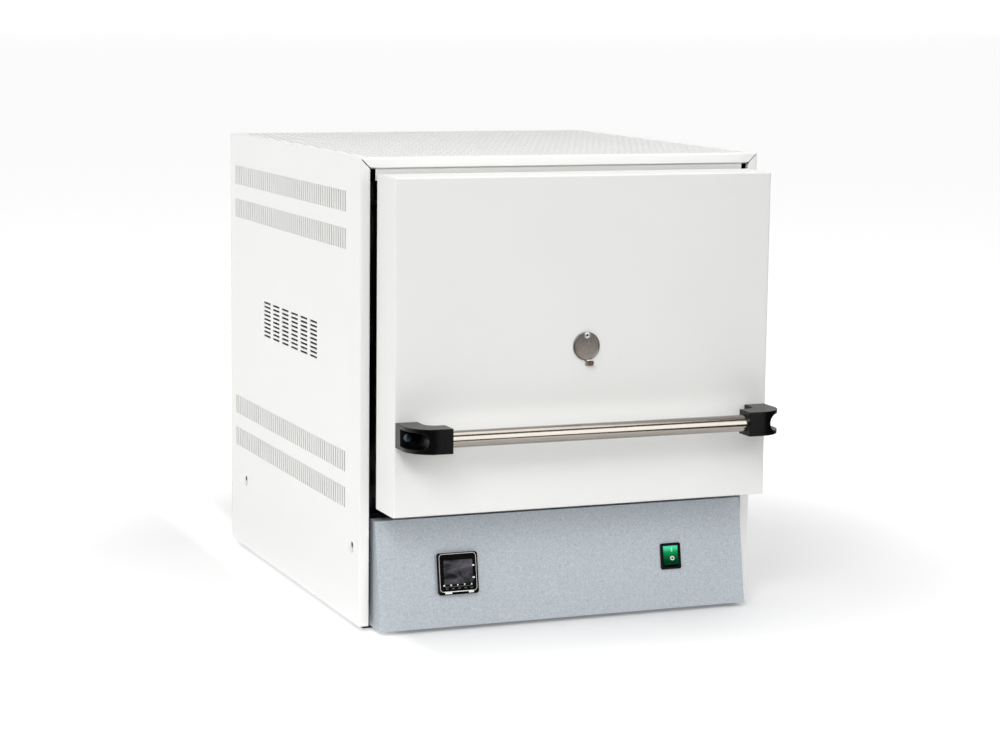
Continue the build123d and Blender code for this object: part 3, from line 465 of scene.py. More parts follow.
def green_cap_painted_highlight():
    """Greens that grow paler along the rocker's length as a painted highlight, with slight clouds, under a gloss.
    """
    finish, tree, principled, place = new_finish(
        "polycarbonate_green_painted_highlight", Roughness=0.2, Specular_IOR_Level=0.03
    )
    along = add(tree, "ShaderNodeVectorMath", {0: place, 1: tuple(PANEL_UP)}, operation="DOT_PRODUCT")
    middle = float(np.array(joints["rocker_tilt"]["pos_m"]) @ PANEL_UP)
    share = add(
        tree,
        "ShaderNodeMapRange",
        {"Value": along.outputs["Value"], "From Min": middle - CAP_HALF, "From Max": middle + CAP_HALF},
    )
    clouds = add(tree, "ShaderNodeMath", {0: noise(tree, place, 5), 1: 0.12}, operation="MULTIPLY")
    both = {0: share.outputs["Result"], 1: clouds.outputs["Value"]}
    mixed = add(tree, "ShaderNodeMath", both, operation="ADD")
    # The ramp runs from deep green at the lower end to pale mint at the upper end: painted shade below, a painted
    # highlight above.
    ramp = add(tree, "ShaderNodeValToRGB", {"Fac": mixed.outputs["Value"]})
    stops = ramp.color_ramp.elements
    stops[0].position, stops[0].color = 0.1, linear("#003A24")
    stops[1].position, stops[1].color = 1.0, linear("#4FD9A6")
    for place_on_ramp, code in ((0.3, "#003D20"), (0.6, "#006B32"), (0.8, "#009A58")):
        stops.new(place_on_ramp).color = linear(code)
    tree.links.new(ramp.outputs["Color"], principled.inputs["Base Color"])
    return finish


rocker_green_painted_highlight = green_cap_painted_highlight()
print("green cap:", rocker_green_painted_highlight.name)

# %% [markdown]
# ## Insulation and ceramics
#
# The chamber is built from vacuum-formed ceramic fibre and fired plates. Fibre board is matt
# and slightly woolly, so it gets a coarse bump and no gloss; the fired plates are creamier and
# sandier.

# %% Finish: fibre board and fired ceramic
def fibre_or_ceramic(name, base, shade, grain, depth, roughness):
    """Matt mineral surface: a blotchy tone and a grain of the given millimetres."""
    finish, tree, principled, place = new_finish(name, IOR=1.45, Roughness=roughness)
    two_tones(tree, principled, noise(tree, place, 30, 6.0), base, shade)
    relief(tree, principled, noise(tree, place, grain, 6.0, Roughness=0.7), 0.8, depth)
    return finish


fibre_board = fibre_or_ceramic("ceramic_fibre_board", "#F0EDE4", "#E2DED2", 2.5, 0.6, 0.95)
fired_ceramic = fibre_or_ceramic("fired_alumina", "#E3DAC6", "#D3C7B0", 1.4, 0.3, 0.85)
print("mineral finishes: 2")

# %% [markdown]
# ## Dressing the solids
#
# Each node of the frame names the material slot that it belongs to in the record, so the
# finishes are handed out by slot, and no node can be forgotten.

# %% Give every node its finish
FINISHES = {
    "side_paint": cabinet_coat,
    "door_paint": door_coat,
    "panel_paint": panel_paint,
    "stainless": plate_steel,
    "zinc_steel": zinc_plate,
    "bright_pin": turned_steel,
    "cover_steel": cover_steel,
    "black_moulding": bracket_nylon,
    "switch_black": switch_black,
    "controller_grey": controller_abs,
    "key_grey": controller_abs,
    "display_black": display_painted_reflection,
    "green_rocker": rocker_green_painted_highlight,
    "rubber": foot_rubber,
    "fibre": fibre_board,
    "ceramic": fired_ceramic,
    "nylon": bearing_nylon,
    "aluminium": ground_aluminium,
    "blade_brass": blade_brass,
}
OWN_FINISH = {
    "handle_tube": tube_steel,
    "mains_terminals": terminal_black,
    "power_inlet": terminal_black,
    "handle_screws": screw_steel_painted_glint,
    "cabinet_screws": bright_screw,
}
# These parts take the black steel as painted shade for the dark space behind the door.
BLACK_AS_PAINTED_SHADE = (
    "left_upper_arm",
    "right_upper_arm",
    "left_lower_arm",
    "right_lower_arm",
    "left_pivot_bracket",
    "right_pivot_bracket",
    "cross_shaft",
    "lower_pivot_pins",
    "hinge_plates",
    "door_pivot_pins",
    "front_plate",
    "inner_casing",
    "compartment_shelf",
)
OWN_FINISH.update(dict.fromkeys(BLACK_AS_PAINTED_SHADE, shade_black_steel))
slot_of = {row["node"]: row["material_slot"] for row in frame["record"]["subparts"]}
for node, part in frame["nodes"].items():
    part.data.materials.clear()
    part.data.materials.append(OWN_FINISH.get(node, FINISHES[slot_of[node]]))
print("dressed:", len(frame["nodes"]), "nodes")

# %% [markdown]
# ## Soft edges on the handle's brackets
#
# The solids' brackets have sharp edges. Real moulded ones are rounded, and the rounding carries a
# thin light line along each edge. A copy of the mesh is merged and gets a narrow bevel, and it
# stands for the solid. The bevel only takes material away, so the brackets stay inside their box.

# %% Bevel the brackets
SAME_POINT = 0.01 * MM
FLAT_EDGE = radians(1)
SHARP_EDGE = radians(28)


def softened(node, name, width, material, body):
    """A copy of a solid's mesh with its sharp edges rounded."""
    mesh = frame["nodes"][node].data.copy()
    mesh.name = name
    skin = bmesh.new()
    skin.from_mesh(mesh)
    bmesh.ops.remove_doubles(skin, verts=skin.verts, dist=SAME_POINT)
    flat = [edge for edge in skin.edges if edge.is_manifold and edge.calc_face_angle() < FLAT_EDGE]
    bmesh.ops.dissolve_edges(skin, edges=flat, use_verts=True)
    skin.to_mesh(mesh)
    skin.free()
    mesh.materials.clear()
    mesh.materials.append(material)
    mesh.shade_smooth()
    mesh.set_sharp_from_angle(angle=SHARP_EDGE)
    piece = bpy.data.objects.new(name, mesh)
    bpy.context.scene.collection.objects.link(piece)
    bevel = piece.modifiers.new("soft_edges", "BEVEL")
    bevel.width = width
    bevel.use_clamp_overlap = False
    bevel.segments = 3
    bevel.limit_method = "ANGLE"
    bevel.angle_limit = SHARP_EDGE
    bevel.harden_normals = True
    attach(piece, body)
    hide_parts(node)
    print(name, "faces before the bevel:", len(mesh.polygons))
    return piece


softened("handle_brackets", "handle_brackets_soft", 0.35 * MM, bracket_nylon, "door")

# %% [markdown]
# ## A pierced sheet
#
# The side panels and the top are thin sheets with hundreds of punched holes. Cutting each hole
# with a Boolean would be slow and leave a messy mesh. Instead the sheet is a grid whose lines
# run along the holes' edges, and each of its cells is either sheet or hole. Walls close every
# cell that borders on a hole, so the sheet stays one closed skin.

# %% Work out a pierced sheet
EMPTY, PLAIN = 0, 1
ARC_POINTS = 5


def pierced_sheet(outside, inside, cells):
    """Closed sheet from two grids of points, one for each side of the metal.

    A plain cell is one face on each side, and an empty cell is none. Edges next to no cell get a
    wall through the metal.
    """
    rows, columns = cells.shape
    corners = np.arange((rows + 1) * (columns + 1)).reshape(rows + 1, columns + 1)
    below = corners.size
    quad = np.stack([corners[:-1, :-1], corners[:-1, 1:], corners[1:, 1:], corners[1:, :-1]], -1)
    points = [outside.reshape(-1, 3), inside.reshape(-1, 3)]
    plain = quad[cells == PLAIN]
    faces = plain.tolist() + (plain[:, ::-1] + below).tolist()

    kept = cells != EMPTY
    edge = np.pad(kept, 1)
    walls = (
        (kept & ~edge[:-2, 1:-1], (0, 1)),
        (kept & ~edge[2:, 1:-1], (2, 3)),
        (kept & ~edge[1:-1, :-2], (3, 0)),
        (kept & ~edge[1:-1, 2:], (1, 2)),
    )
    for open_side, (start, end) in walls:
        a = quad[open_side][:, start]
        b = quad[open_side][:, end]
        faces += np.stack([b, a, a + below, b + below], 1).tolist()

    used = np.unique(np.concatenate([np.ravel(face) for face in faces]))
    points = np.concatenate(points)
    renumber = np.zeros(len(points), int)
    renumber[used] = np.arange(len(used))
    return points[used], [renumber[face].tolist() for face in faces]


def folded_path(corners, radii):
    """Points along a folded strip, and the normal to its left: straight runs, arcs at corners."""
    corners = np.asarray(corners, float)
    points, normals = [], []

    def left(direction):
        return np.array((-direction[1], direction[0]))

    headings = np.diff(corners, axis=0)
    headings /= np.linalg.norm(headings, axis=1)[:, None]
    points.append(corners[0])
    normals.append(left(headings[0]))
    for k, radius in enumerate(radii, 1):
        before, after = headings[k - 1], headings[k]
        cross = before[0] * after[1] - before[1] * after[0]
        turn = atan2(cross, float(before @ after))
        reach = radius * np.tan(abs(turn) / 2)
        centre = corners[k] - before * reach + left(before) * np.sign(turn) * radius
        for step in np.linspace(0, 1, ARC_POINTS):
            angle = turn * step
            spun = np.array(
                (
                    before[0] * cos(angle) - before[1] * sin(angle),
                    before[0] * sin(angle) + before[1] * cos(angle),
                )
            )
            points.append(centre - left(spun) * np.sign(turn) * radius)
            normals.append(left(spun))
    points.append(corners[-1])
    normals.append(left(headings[-1]))
    return np.array(points), np.array(normals)


# %% [markdown]
# ## The side panels
#
# Each side is one sheet, folded to a narrow flange in front and a wider one behind, with four
# rows of upright slots for the cooling air and a field of short slots between them. The solids
# carry the rows at a wider pitch, so a pierced sheet with all the slots stands for each.

# %% Build both side panels
SLOT_W = 4.0 * MM
SLOT_H = 24.0 * MM
SLOT_PITCH = 8.3 * MM
SLOT_COUNT = 55
SLOT_MIDDLE = FRONT_Y + 277.5 * MM
SLOT_ROWS = BASE_Z + np.array((141.0, 183.0, 440.0, 482.7)) * MM
FIELD_SLOT = np.array((28.0, 2.6)) * MM
FIELD_PITCH = np.array((38.0, 5.2)) * MM
FIELD_COUNT = (6, 9)
FIELD_MIDDLE = np.array((FRONT_Y + 267.0 * MM, BASE_Z + 310.0 * MM))
# A keyhole is a narrow slot with a wider eye at its top: width, height and rise of each part.
KEYHOLE = np.array(((5.0, 8.0, -2.0), (8.0, 4.0, 2.2), (6.4, 6.4, 2.2), (4.0, 8.0, 2.2))) * MM
KEYHOLE_Y = FRONT_Y + np.array((25.5, 458.0)) * MM
KEYHOLE_Z = BASE_Z + 88.0 * MM
MITRE_GAP = 0.8 * MM


# How many of the path's points belong to the rear flange, the front flange and the lip behind it,
# and how far the rear flange and the lip end under the top.
REAR_POINTS, FLANGE_POINTS, LIP_POINTS = 5, 7, 5
REAR_DROP = 16.0 * MM
LIP_DROP = FLANGE + 1.0 * MM


def spread(middle, pitch, count):
    """Middles of a row of equal holes."""
    return middle + (np.arange(count) - (count - 1) / 2) * pitch


def hole_edges(middles, widths):
    """Both edges of every hole, each place once."""
    return np.unique(np.round(np.concatenate([middles - widths / 2, middles + widths / 2]), 6))


def side_panel(name, body_side):
    """The folded sheet: a path in plan, carried up the cabinet, with its slots left out."""
    path, normal = folded_path(
        [
            (-SIDE_X + REAR_FLANGE, SIDE_REAR_Y),
            (-SIDE_X, SIDE_REAR_Y),
            (-SIDE_X, FRONT_Y),
            (-SIDE_X + FLANGE, FRONT_Y),
            (-SIDE_X + FLANGE, FRONT_Y + LIP),
        ],
        [1.5 * MM, BEND_R, 1.3 * MM],
    )
    slot_y = spread(SLOT_MIDDLE, SLOT_PITCH, SLOT_COUNT)
    field_y = spread(FIELD_MIDDLE[0], FIELD_PITCH[0], FIELD_COUNT[0])
    field_z = spread(FIELD_MIDDLE[1], FIELD_PITCH[1], FIELD_COUNT[1])
    holes = [(y, z, SLOT_W, SLOT_H) for z in SLOT_ROWS for y in slot_y]
    holes += [(y, z, *FIELD_SLOT) for z in field_z for y in field_y]
    holes += [(y, KEYHOLE_Z + rise, width, height) for y in KEYHOLE_Y for width, height, rise in KEYHOLE]
    holes = np.array(holes)
    cuts_y = hole_edges(holes[:, 0], holes[:, 2])
    cuts_z = hole_edges(holes[:, 1], holes[:, 3])
    wall = 1 + ARC_POINTS
    straight = np.stack([np.full(len(cuts_y), -SIDE_X), cuts_y[::-1]], 1)
    path = np.concatenate([path[:wall], straight, path[wall:]])
    inward = np.tile((1.0, 0.0), (len(cuts_y), 1))
    normal = np.concatenate([normal[:wall], inward, normal[wall:]])
    heights = np.concatenate([[BASE_Z], cuts_z, [TOP_Z]])

    def lifted(line):
        grid = np.empty((len(heights), len(line), 3))
        grid[:, :, 0] = line[:, 0]
        grid[:, :, 1] = line[:, 1]
        grid[:, :, 2] = heights[:, None]
        return grid

    outside = lifted(path)
    inside = lifted(path + normal * SHEET)
    mitre = np.maximum(path[:, 0] + SIDE_X, 0.0)
    drop = np.zeros(len(path))
    drop[-FLANGE_POINTS:] = mitre[-FLANGE_POINTS:] + MITRE_GAP
    drop[-LIP_POINTS:] = LIP_DROP
    drop[:REAR_POINTS] = REAR_DROP
    outside[-1, :, 2] -= drop
    inside[-1, :, 2] -= drop

    middles_y = (path[:-1, 1] + path[1:, 1]) / 2
    middles_z = (heights[:-1] + heights[1:]) / 2
    on_wall = np.abs((path[:-1, 0] + path[1:, 0]) / 2 + SIDE_X) < 1e-6
    cells = np.full((len(heights) - 1, len(path) - 1), PLAIN)
    for y, z, width, height in holes:
        across = (np.abs(middles_y - y) < width / 2) & on_wall
        cells[np.ix_(np.abs(middles_z - z) < height / 2, across)] = EMPTY
    points, faces = pierced_sheet(outside, inside, cells)
    if body_side > 0:
        points = points * (-1.0, 1.0, 1.0)
        faces = [face[::-1] for face in faces]
    return make_piece(name, points, faces, cabinet_coat, "cabinet")


left_side = side_panel("left_side_sheet", -1)
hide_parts("left_side_panel")
right_side = side_panel("right_side_sheet", 1)
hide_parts("right_side_panel")

# %% [markdown]
# ## The pierced top
#
# The top cover is a sheet between the two sides, punched all over with staggered rows of upright
# slots, so that the heat can leave. The slots are as long as the sides' ones, and they stand at
# the same pitch. It is the same kind of grid, with two lines along each slot's edges.

# %% Build the top cover
TOP_ROW_PITCH = 28.0 * MM
TOP_SLOT_W = 3.3 * MM
TOP_MARGIN = 10.0 * MM
COVER_REAR_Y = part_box("top_cover")[1][1]
COVER_X = SIDE_X - SHEET - 0.4 * MM
RAIL_IN = 3.6 * MM
RAIL_H = 14.0 * MM
RAIL_END = 7.0 * MM
# The rail's foot, its bend, and the next bend but for its last point.
RAIL_POINTS = 2 * ARC_POINTS


def top_cover():
    """The cover's path from front to back, carried across the cabinet, with its holes."""
    path, normal = folded_path(
        [
            (FRONT_Y + RAIL_IN, TOP_Z - FLANGE - RAIL_H),
            (FRONT_Y + RAIL_IN, TOP_Z - FLANGE),
            (FRONT_Y, TOP_Z - FLANGE),
            (FRONT_Y, TOP_Z),
            (COVER_REAR_Y, TOP_Z),
            (COVER_REAR_Y, TOP_Z - FLANGE),
        ],
        [0.8 * MM, 1.3 * MM, BEND_R, 1.5 * MM],
    )
    rows = int((COVER_REAR_Y - FRONT_Y - 2 * TOP_MARGIN) / TOP_ROW_PITCH)
    columns = int((2 * COVER_X - 2 * TOP_MARGIN) / SLOT_PITCH * 2)
    row_y = spread((FRONT_Y + COVER_REAR_Y) / 2, TOP_ROW_PITCH, rows)
    column_x = spread(0.0, SLOT_PITCH / 2, columns)
    lines_y = np.sort(np.concatenate([row_y - SLOT_H / 2, row_y + SLOT_H / 2]))
    lines_x = np.sort(np.concatenate([column_x - TOP_SLOT_W / 2, column_x + TOP_SLOT_W / 2]))
    top = 1 + 3 * ARC_POINTS
    straight = np.stack([lines_y, np.full(len(lines_y), TOP_Z)], 1)
    path = np.concatenate([path[:top], straight, path[top:]])
    normal = np.concatenate([normal[:top], np.tile((0.0, 1.0), (len(lines_y), 1)), normal[top:]])
    across = np.concatenate([[COVER_X], lines_x[::-1], [-COVER_X]])

    def carried(line):
        grid = np.empty((len(across), len(line), 3))
        grid[:, :, 0] = across[:, None]
        grid[:, :, 1] = line[:, 0]
        grid[:, :, 2] = line[:, 1]
        return grid

    outside = carried(path)
    inside = carried(path - normal * SHEET)
    # The front flange reaches past the sides' inner faces and ends in the mitres, and the rail
    # behind it ends between the sides' flanges.
    place = np.arange(len(path))
    mitred = np.minimum(SIDE_X - (TOP_Z - path[:, 1]) - MITRE_GAP, COVER_X)
    reach = np.where(place < top, mitred, COVER_X)
    reach = np.where(place < RAIL_POINTS, SIDE_X - FLANGE - RAIL_END, reach)
    for grid in (outside, inside):
        grid[0, :, 0] = reach
        grid[-1, :, 0] = -reach
    cells = np.full((len(across) - 1, len(path) - 1), PLAIN)
    staggered = (np.arange(columns)[:, None] + np.arange(rows)[None, :]) % 2 == 0
    cells[1 : 2 * columns : 2, top : top + 2 * rows : 2][staggered] = EMPTY
    points, faces = pierced_sheet(outside, inside, cells)
    return make_piece("top_cover_sheet", points, faces, cabinet_coat, "cabinet")


cover = top_cover()
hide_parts("top_cover")

# %% [markdown]
# ## The controller's face
#
# The temperature controller is a small black module with a silver line round its face, a smoked
# window, and a row of keys under it with a white sign over each. The signs are thin raised
# prints, which stay sharp at any distance where a painted texture would blur.

# %% Print the controller's face
bezel_at = face_centre("controller_bezel", PANEL_OUT, PANEL_RIGHT, PANEL_UP)
axes = (PANEL_RIGHT, PANEL_UP, PANEL_OUT)
PRINT = 0.12 * MM
SUNK = -0.02 * MM
LINE_RIGHT = -0.7 * MM
SIGN_RIGHT = -1.5 * MM
SIGN_UP = -13.0 * MM
SIGN_PITCH = 8.4 * MM


def printed(name, outline, right, up, material, height=PRINT):
    """A thin raised print on the controller's face, this far right of and above its middle."""
    place = bezel_at + PANEL_RIGHT * right + PANEL_UP * up
    points, faces = prism(outline, SUNK, height, place, *axes)
    return make_piece(name, points, faces, material, "cabinet")


points, faces = band(
    rounded_rectangle(45.6 * MM, 44.2 * MM, 4.4 * MM),
    rounded_rectangle(44.2 * MM, 42.6 * MM, 3.6 * MM),
    SUNK,
    0.35 * MM,
    bezel_at + PANEL_RIGHT * LINE_RIGHT + PANEL_UP * 1.2 * MM,
    *axes,
)
make_piece("controller_silver_line", points, faces, frame_grey, "cabinet")
# Each plain print: width, height and corner radius, how far right and up, height of the print.
PLAIN_PRINTS = (
    ("controller_lower_line", (37.0, 0.9, 0.4), (-0.7, -20.5), mark_white, 0.4 * MM),
    ("controller_sign_line", (32.0, 0.35, 0.15), (-1.5, -14.7), mark_dim, PRINT),
    ("controller_tab_left", (8.6, 1.9, 0.4), (-13.2, -22.0), mark_white, PRINT),
    ("controller_tab_right", (6.4, 1.9, 0.4), (14.6, -21.9), mark_white, PRINT),
    ("indicator_lamp_1", (2.8, 1.7, 0.5), (18.2, 8.3), mark_white, 0.3 * MM),
    ("indicator_lamp_2", (2.8, 1.7, 0.5), (18.2, -5.6), mark_white, 0.3 * MM),
)
for name, outline, (right, up), material, height in PLAIN_PRINTS:
    outline = rounded_rectangle(*(size * MM for size in outline))
    printed(name, outline, right * MM, up * MM, material, height)

POINTER = np.array(((-1.1, -0.9), (1.2, -0.9), (0.05, 1.2))) * MM
SIGNS = (
    rounded_rectangle(2.0 * MM, 1.9 * MM, 0.6 * MM),
    circle(1.0 * MM, 16),
    np.stack([POINTER[:, 1], -POINTER[:, 0]], 1),
    -POINTER,
    POINTER,
)
for number, sign in enumerate(SIGNS, 1):
    printed(f"key_sign_{number}", sign, SIGN_RIGHT + (number - 3) * SIGN_PITCH, SIGN_UP, mark_white)
    key_at = face_centre(f"controller_key_{number}", PANEL_OUT, PANEL_RIGHT, PANEL_UP)
    dash = rounded_rectangle(3.2 * MM, 0.7 * MM, 0.3 * MM)
    points, faces = prism(dash, SUNK, PRINT, key_at, *axes)
    make_piece(f"key_dash_{number}", points, faces, mark_dim, f"key_{number}")

# %% [markdown]
# ## The rocker
#
# The switch's rocker has a hollow face, which throws a long soft gradient where flat facets would
# show a hard line. It is rebuilt from its profile with a finely divided arc, and carries the usual
# line for on above the circle for off. The marks turn with it, so they ride on its body.

# %% Build the rocker and print its marks
ROCKER_TILT = radians(9.0)
FACE_HOLLOW = 2.0 * MM
FACE_HALF = 11.3 * MM
FACE_OUT = 4.5 * MM
MARK_RIGHT = 1.5 * MM
MARK_H = 0.3 * MM
FACE_R = (FACE_HALF**2 + FACE_HOLLOW**2) / (2 * FACE_HOLLOW)
rocker_axis = np.array(joints["rocker_tilt"]["pos_m"])
rocker_half = (node_points("rocker")[:, 0].max() - node_points("rocker")[:, 0].min()) / 2
rocker_lean = atan2(PANEL_OUT[2], -PANEL_OUT[1]) + ROCKER_TILT
ROCKER_UP = np.array((0.0, sin(rocker_lean), cos(rocker_lean)))
ROCKER_OUT = np.array((0.0, -cos(rocker_lean), sin(rocker_lean)))

arc = np.linspace(FACE_HALF, -FACE_HALF, 25)
face_line = np.stack([arc, FACE_OUT + FACE_R - np.sqrt(FACE_R**2 - arc**2)], 1)
leg = np.array(((-10.9, 1.0), (-7.5, -4.0), (-3.6, -4.0))) * MM
back_line = np.concatenate([leg, [(0.0, 0.2 * MM)], leg[::-1] * (-1.0, 1.0)])
points, faces = prism(
    np.concatenate([face_line, back_line]),
    -rocker_half,
    rocker_half,
    rocker_axis,
    ROCKER_UP,
    ROCKER_OUT,
    PANEL_RIGHT,
)
cap = make_piece("rocker_cap", points, faces, rocker_green_painted_highlight, "rocker", smooth=True)
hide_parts("rocker")


def rocker_face(along):
    """A point of the hollow face this far along it, and the face's axes there."""
    slope = np.arcsin(along / FACE_R)
    middle = rocker_axis + ROCKER_UP * along + ROCKER_OUT * (FACE_OUT + FACE_R * (1 - cos(slope)))
    up = ROCKER_UP * cos(slope) + ROCKER_OUT * sin(slope)
    out = ROCKER_OUT * cos(slope) - ROCKER_UP * sin(slope)
    return middle + PANEL_RIGHT * MARK_RIGHT, PANEL_RIGHT, up, out


bar = rounded_rectangle(1.6 * MM, 5.6 * MM, 0.6 * MM)
points, faces = prism(bar, SUNK, MARK_H, *rocker_face(7.2 * MM))
make_piece("rocker_mark_on", points, faces, mark_mint, "rocker")
points, faces = band(circle(2.7 * MM, 32), circle(1.4 * MM, 32), SUNK, MARK_H, *rocker_face(-3.4 * MM))
make_piece("rocker_mark_off", points, faces, mark_white, "rocker")

# %% [markdown]
# ## The peephole's cover
#
# The cover is a stamped disc: slightly dished, with a beaded edge that catches the light as a
# bright crescent, and a tab that is bent out to be swung by a finger. It hangs on a tubular rivet.
# Turned profiles give the dish and the bead their real roundness. The tab was heated in use and
# has a brown tint of its own.

# %% Build the peephole's cover, tab and rivet
DISC_R = 16.2 * MM
BEAD_W = 1.7 * MM
DISH = 0.5 * MM
BEAD_H = 0.4 * MM
BEAD_FALL = 0.5 * MM
BORE_R = 1.3 * MM
disc_low, disc_high = (np.array(corner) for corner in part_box("peephole_cover"))
rivet_low, rivet_high = (np.array(corner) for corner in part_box("peephole_rivet"))
DISC_BACK = disc_high[1]
DISC_FACE = DISC_BACK - 1.5 * MM
DISC_Z = sum(corner[2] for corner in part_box("peephole_tube")) / 2
RIVET_Z = (rivet_low[2] + rivet_high[2]) / 2

inner_r = DISC_R - BEAD_W
dish = [(r * inner_r, DISC_FACE + DISH * (1 - r**2)) for r in np.linspace(0, 1, 12)]
bead = [
    (inner_r + t * BEAD_W, DISC_FACE - BEAD_H * sin(pi * t) + BEAD_FALL * t**3)
    for t in np.linspace(0, 1, 9)[1:]
]
profile = dish + bead + [(DISC_R, DISC_BACK), (0, DISC_BACK)]
points, faces = lathed(profile, 0.0, DISC_Z, 96)
disc = make_piece("peephole_disc", points, faces, cover_steel, "peephole_cover", smooth=True)
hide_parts("peephole_cover")

TAB_LOW = disc_low[2]
TAB_HIGH = DISC_Z - DISC_R + 1.0 * MM
OUTWARD = np.array((0.0, -1.0, 0.0))
UPWARD = np.array((0.0, 0.0, 1.0))
SIDEWAYS = np.array((1.0, 0.0, 0.0))
tab_middle = np.array((1.0 * MM, DISC_FACE, (TAB_LOW + TAB_HIGH) / 2))
root = rounded_rectangle(3.2 * MM, TAB_HIGH - TAB_LOW, 0.4 * MM)
points, faces = prism(root, -1.2 * MM, -0.1 * MM, tab_middle, SIDEWAYS, UPWARD, OUTWARD)
make_piece("peephole_tab_root", points, faces, cover_steel, "peephole_cover")

BENT_ALONG = (SIDEWAYS + OUTWARD) / np.sqrt(2)
BENT_OUT = np.cross(BENT_ALONG, UPWARD)
blade = np.array(((0.0, -2.9), (5.2, -2.9), (6.6, -1.2), (6.6, 1.6), (5.4, 2.9), (0.0, 2.9))) * MM
blade_at = np.array((2.2 * MM, DISC_FACE + 0.2 * MM, (TAB_LOW + TAB_HIGH) / 2 - 0.5 * MM))
points, faces = prism(blade, -0.5 * MM, 0.5 * MM, blade_at, BENT_ALONG, UPWARD, BENT_OUT)
make_piece("peephole_tab_blade", points, faces, tab_steel, "peephole_cover")

fold_at = np.array((1.4 * MM, DISC_FACE - 0.35 * MM, DISC_Z - DISC_R - 0.1 * MM))
points, faces = prism(circle(0.9 * MM, 12), -1.6 * MM, 5.6 * MM, fold_at, OUTWARD, UPWARD, SIDEWAYS)
faces = [face[::-1] for face in faces]
make_piece("peephole_tab_fold", points, faces, turned_steel, "peephole_cover", smooth=True)

around = np.linspace(0, 2 * pi, 16, endpoint=False)
lip = [(2.1 * MM + 1.0 * MM * cos(t), rivet_low[1] + 0.6 * MM * sin(t)) for t in around]
points, faces = lathed(lip, 0.0, RIVET_Z, 48)
make_piece("peephole_rivet_lip", points, faces, turned_steel, "door", smooth=True)
# The near-black disc over the rivet's mouth is painted shade, for the dark inside the hollow rivet.
bore_face = rivet_low[1] - 0.1 * MM
bore = [(0, bore_face), (BORE_R, bore_face), (BORE_R, rivet_low[1]), (0, rivet_low[1])]
points, faces = lathed(bore, 0.0, RIVET_Z, 24)
make_piece("peephole_bore_painted_shade", points, faces, rivet_bore_painted_shade, "door")

# %% [markdown]
# ## The floor and the light
#
# The photograph is lit like a catalogue picture: a white table that runs on behind, soft light
# from above and the left, and a tall strip of light in front. The table ends in front of the
# furnace, and the room beyond its edge is dark. That matters, because the steel tube and the
# black mouldings mirror it: the tube shows the strip as a bright line with a dark one under it.

# %% Set the table, the room and the lamps
FLOOR_GLOW = 0.12
FAR_GLOW = 0.45
SIDE_PAINTED_LIGHT = 0.35
SIDE_PAINTED_LIGHT_REACH = 0.06
ROOM_EVEN = 0.14
ROOM_LOW = 0.1 * ROOM_EVEN
BRIGHT_SIDE = (-0.25, 0.9, 0.35)
ROOM_BEHIND = 0.53
TABLE_CORNER = (0.19, -0.92)
LAMPS = (
    ("box_above", (0.2, -0.6, 3.0), (0.1, 0.0, 0.3), 2.2, 2.2, 33),
    ("box_left", (-3.2, -0.4, 1.6), (0.0, 0.0, 0.3), 2.4, 2.4, 25),
    ("box_key", (-1.1, -1.8, 1.6), (0.0, -0.2, 0.4), 0.8, 0.8, 20.5),
    ("box_mid", (-0.5, -2.7, 1.35), (0.0, -0.2, 0.3), 1.0, 0.8, 9),
    ("box_strip", (1.1, -2.75, 0.95), (0.0, -0.3, 0.25), 1.1, 2.3, 22.5),
)


def stage_plane(name, corners, material):
    """One flat face, for the table or the screen behind it."""
    mesh = bpy.data.meshes.new(name)
    mesh.from_pydata([tuple(map(float, corner)) for corner in corners], [], [(0, 1, 2, 3)])
    mesh.materials.append(material)
    plane = bpy.data.objects.new(name, mesh)
    bpy.context.scene.collection.objects.link(plane)
    return plane


table_white, tree, principled, place = new_finish("table_white", Roughness=0.7, Specular_IOR_Level=0.2)
grain = add(tree, "ShaderNodeTexNoise", {"Vector": place, "Scale": 3.0, "Detail": 2.0})
two_tones(tree, principled, grain.outputs["Fac"], "#EBEBEB", "#E9E9E9")
principled.inputs["Emission Color"].default_value = (1, 1, 1, 1)
# The far table burns out to white, so its glow rises with the distance from the furnace. A strip
# of painted light along the left side lightens the floor there, for the light thrown under the furnace.
away = add(tree, "ShaderNodeVectorMath", {0: place}, operation="LENGTH")
rising = add(
    tree,
    "ShaderNodeMapRange",
    {"Value": away.outputs["Value"], "From Min": 0.45, "From Max": 1.0, "To Min": FLOOR_GLOW},
    interpolation_type="SMOOTHSTEP",
)
rising.inputs["To Max"].default_value = FLOOR_GLOW + FAR_GLOW
sideways = add(tree, "ShaderNodeSeparateXYZ", {"Vector": place})
beside = add(tree, "ShaderNodeMath", {0: sideways.outputs["X"], 1: SIDE_X}, operation="ADD")
nearby = add(tree, "ShaderNodeMath", {0: beside.outputs["Value"]}, operation="ABSOLUTE")
strip = add(
    tree,
    "ShaderNodeMapRange",
    {"Value": nearby.outputs["Value"], "From Max": SIDE_PAINTED_LIGHT_REACH, "To Min": SIDE_PAINTED_LIGHT, "To Max": 0.0},
    interpolation_type="SMOOTHSTEP",
)
glow = add(tree, "ShaderNodeMath", {0: rising.outputs["Result"], 1: strip.outputs["Result"]}, operation="ADD")
tree.links.new(glow.outputs["Value"], principled.inputs["Emission Strength"])
stage_plane("floor", [(-40, 15.0, 0), (*TABLE_CORNER, 0), (40, 61.2, 0), (-40, 61.2, 0)], table_white)
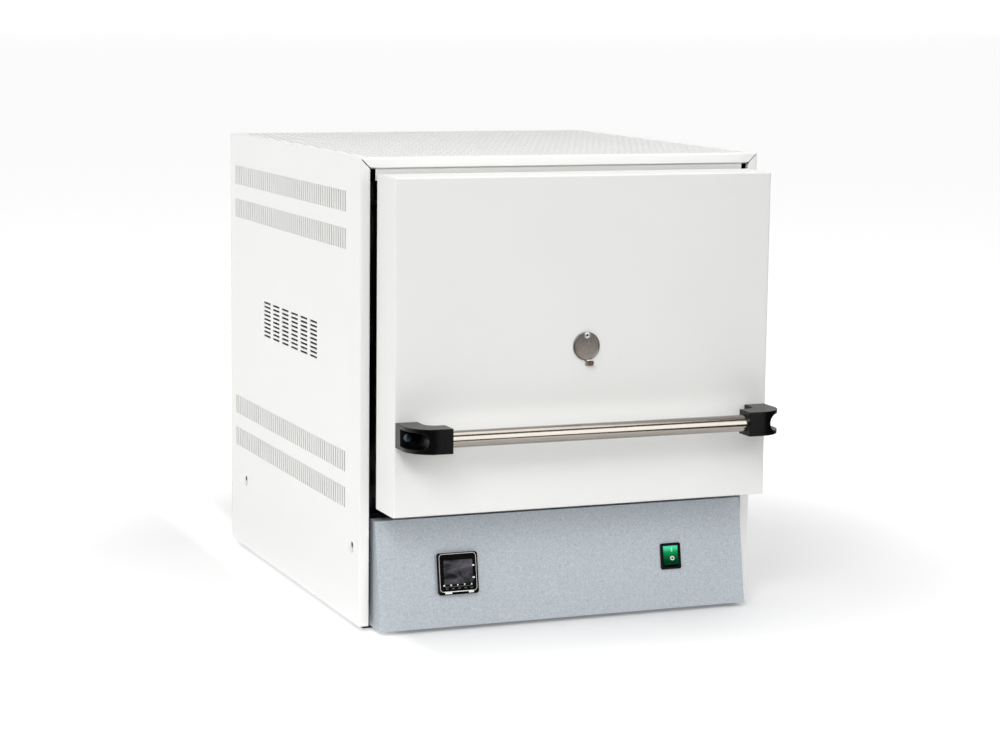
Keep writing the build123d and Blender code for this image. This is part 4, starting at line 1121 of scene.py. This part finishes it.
# The table ends at a low screen, which closes the picture above it.
screen_white, tree, principled, place = new_finish("screen_white", Roughness=0.8, Emission_Strength=1.1)
weave = add(tree, "ShaderNodeTexNoise", {"Vector": place, "Scale": 1.0})
two_tones(tree, principled, weave.outputs["Fac"], "#F4F4F4", "#F0F0F0")
principled.inputs["Emission Color"].default_value = (1, 1, 1, 1)
stage_plane("backdrop", [(-40, 60, 0), (40, 60, 0), (40, 60, 4), (-40, 60, 4)], screen_white)

world = bpy.data.worlds.new("studio")
bpy.context.scene.world = world
world.use_nodes = True
sky = world.node_tree
direction = add(sky, "ShaderNodeTexCoord").outputs["Generated"]
facing = add(sky, "ShaderNodeVectorMath", {0: direction, 1: BRIGHT_SIDE}, operation="DOT_PRODUCT")
behind = add(
    sky,
    "ShaderNodeMapRange",
    {"Value": facing.outputs["Value"], "From Min": -0.2, "From Max": 0.5, "To Max": ROOM_BEHIND},
    interpolation_type="SMOOTHSTEP",
)
height = add(sky, "ShaderNodeSeparateXYZ", {"Vector": direction})
even = add(
    sky,
    "ShaderNodeMapRange",
    {
        "Value": height.outputs["Z"],
        "From Min": -0.1,
        "From Max": 0.35,
        "To Min": ROOM_LOW,
        "To Max": ROOM_EVEN,
    },
    interpolation_type="SMOOTHSTEP",
)
room = add(sky, "ShaderNodeMath", {0: behind.outputs["Result"], 1: even.outputs["Result"]}, operation="ADD")
sky.links.new(room.outputs["Value"], sky.nodes["Background"].inputs["Strength"])
sky.nodes["Background"].inputs["Color"].default_value = (1, 1, 1, 1)


def soft_box(name, place, target, width, height, power):
    """A rectangular area lamp that faces its target."""
    data = bpy.data.lights.new(name, "AREA")
    data.shape = "RECTANGLE"
    data.size = width
    data.size_y = height
    data.energy = power
    lamp = bpy.data.objects.new(name, data)
    lamp.location = place
    lamp.rotation_euler = (Vector(target) - Vector(place)).to_track_quat("-Z", "Y").to_euler()
    bpy.context.scene.collection.objects.link(lamp)
    return lamp


for lamp_values in LAMPS:
    soft_box(*lamp_values)
scene = bpy.context.scene
scene.view_settings.view_transform = "Standard"
scene.view_settings.look = "None"
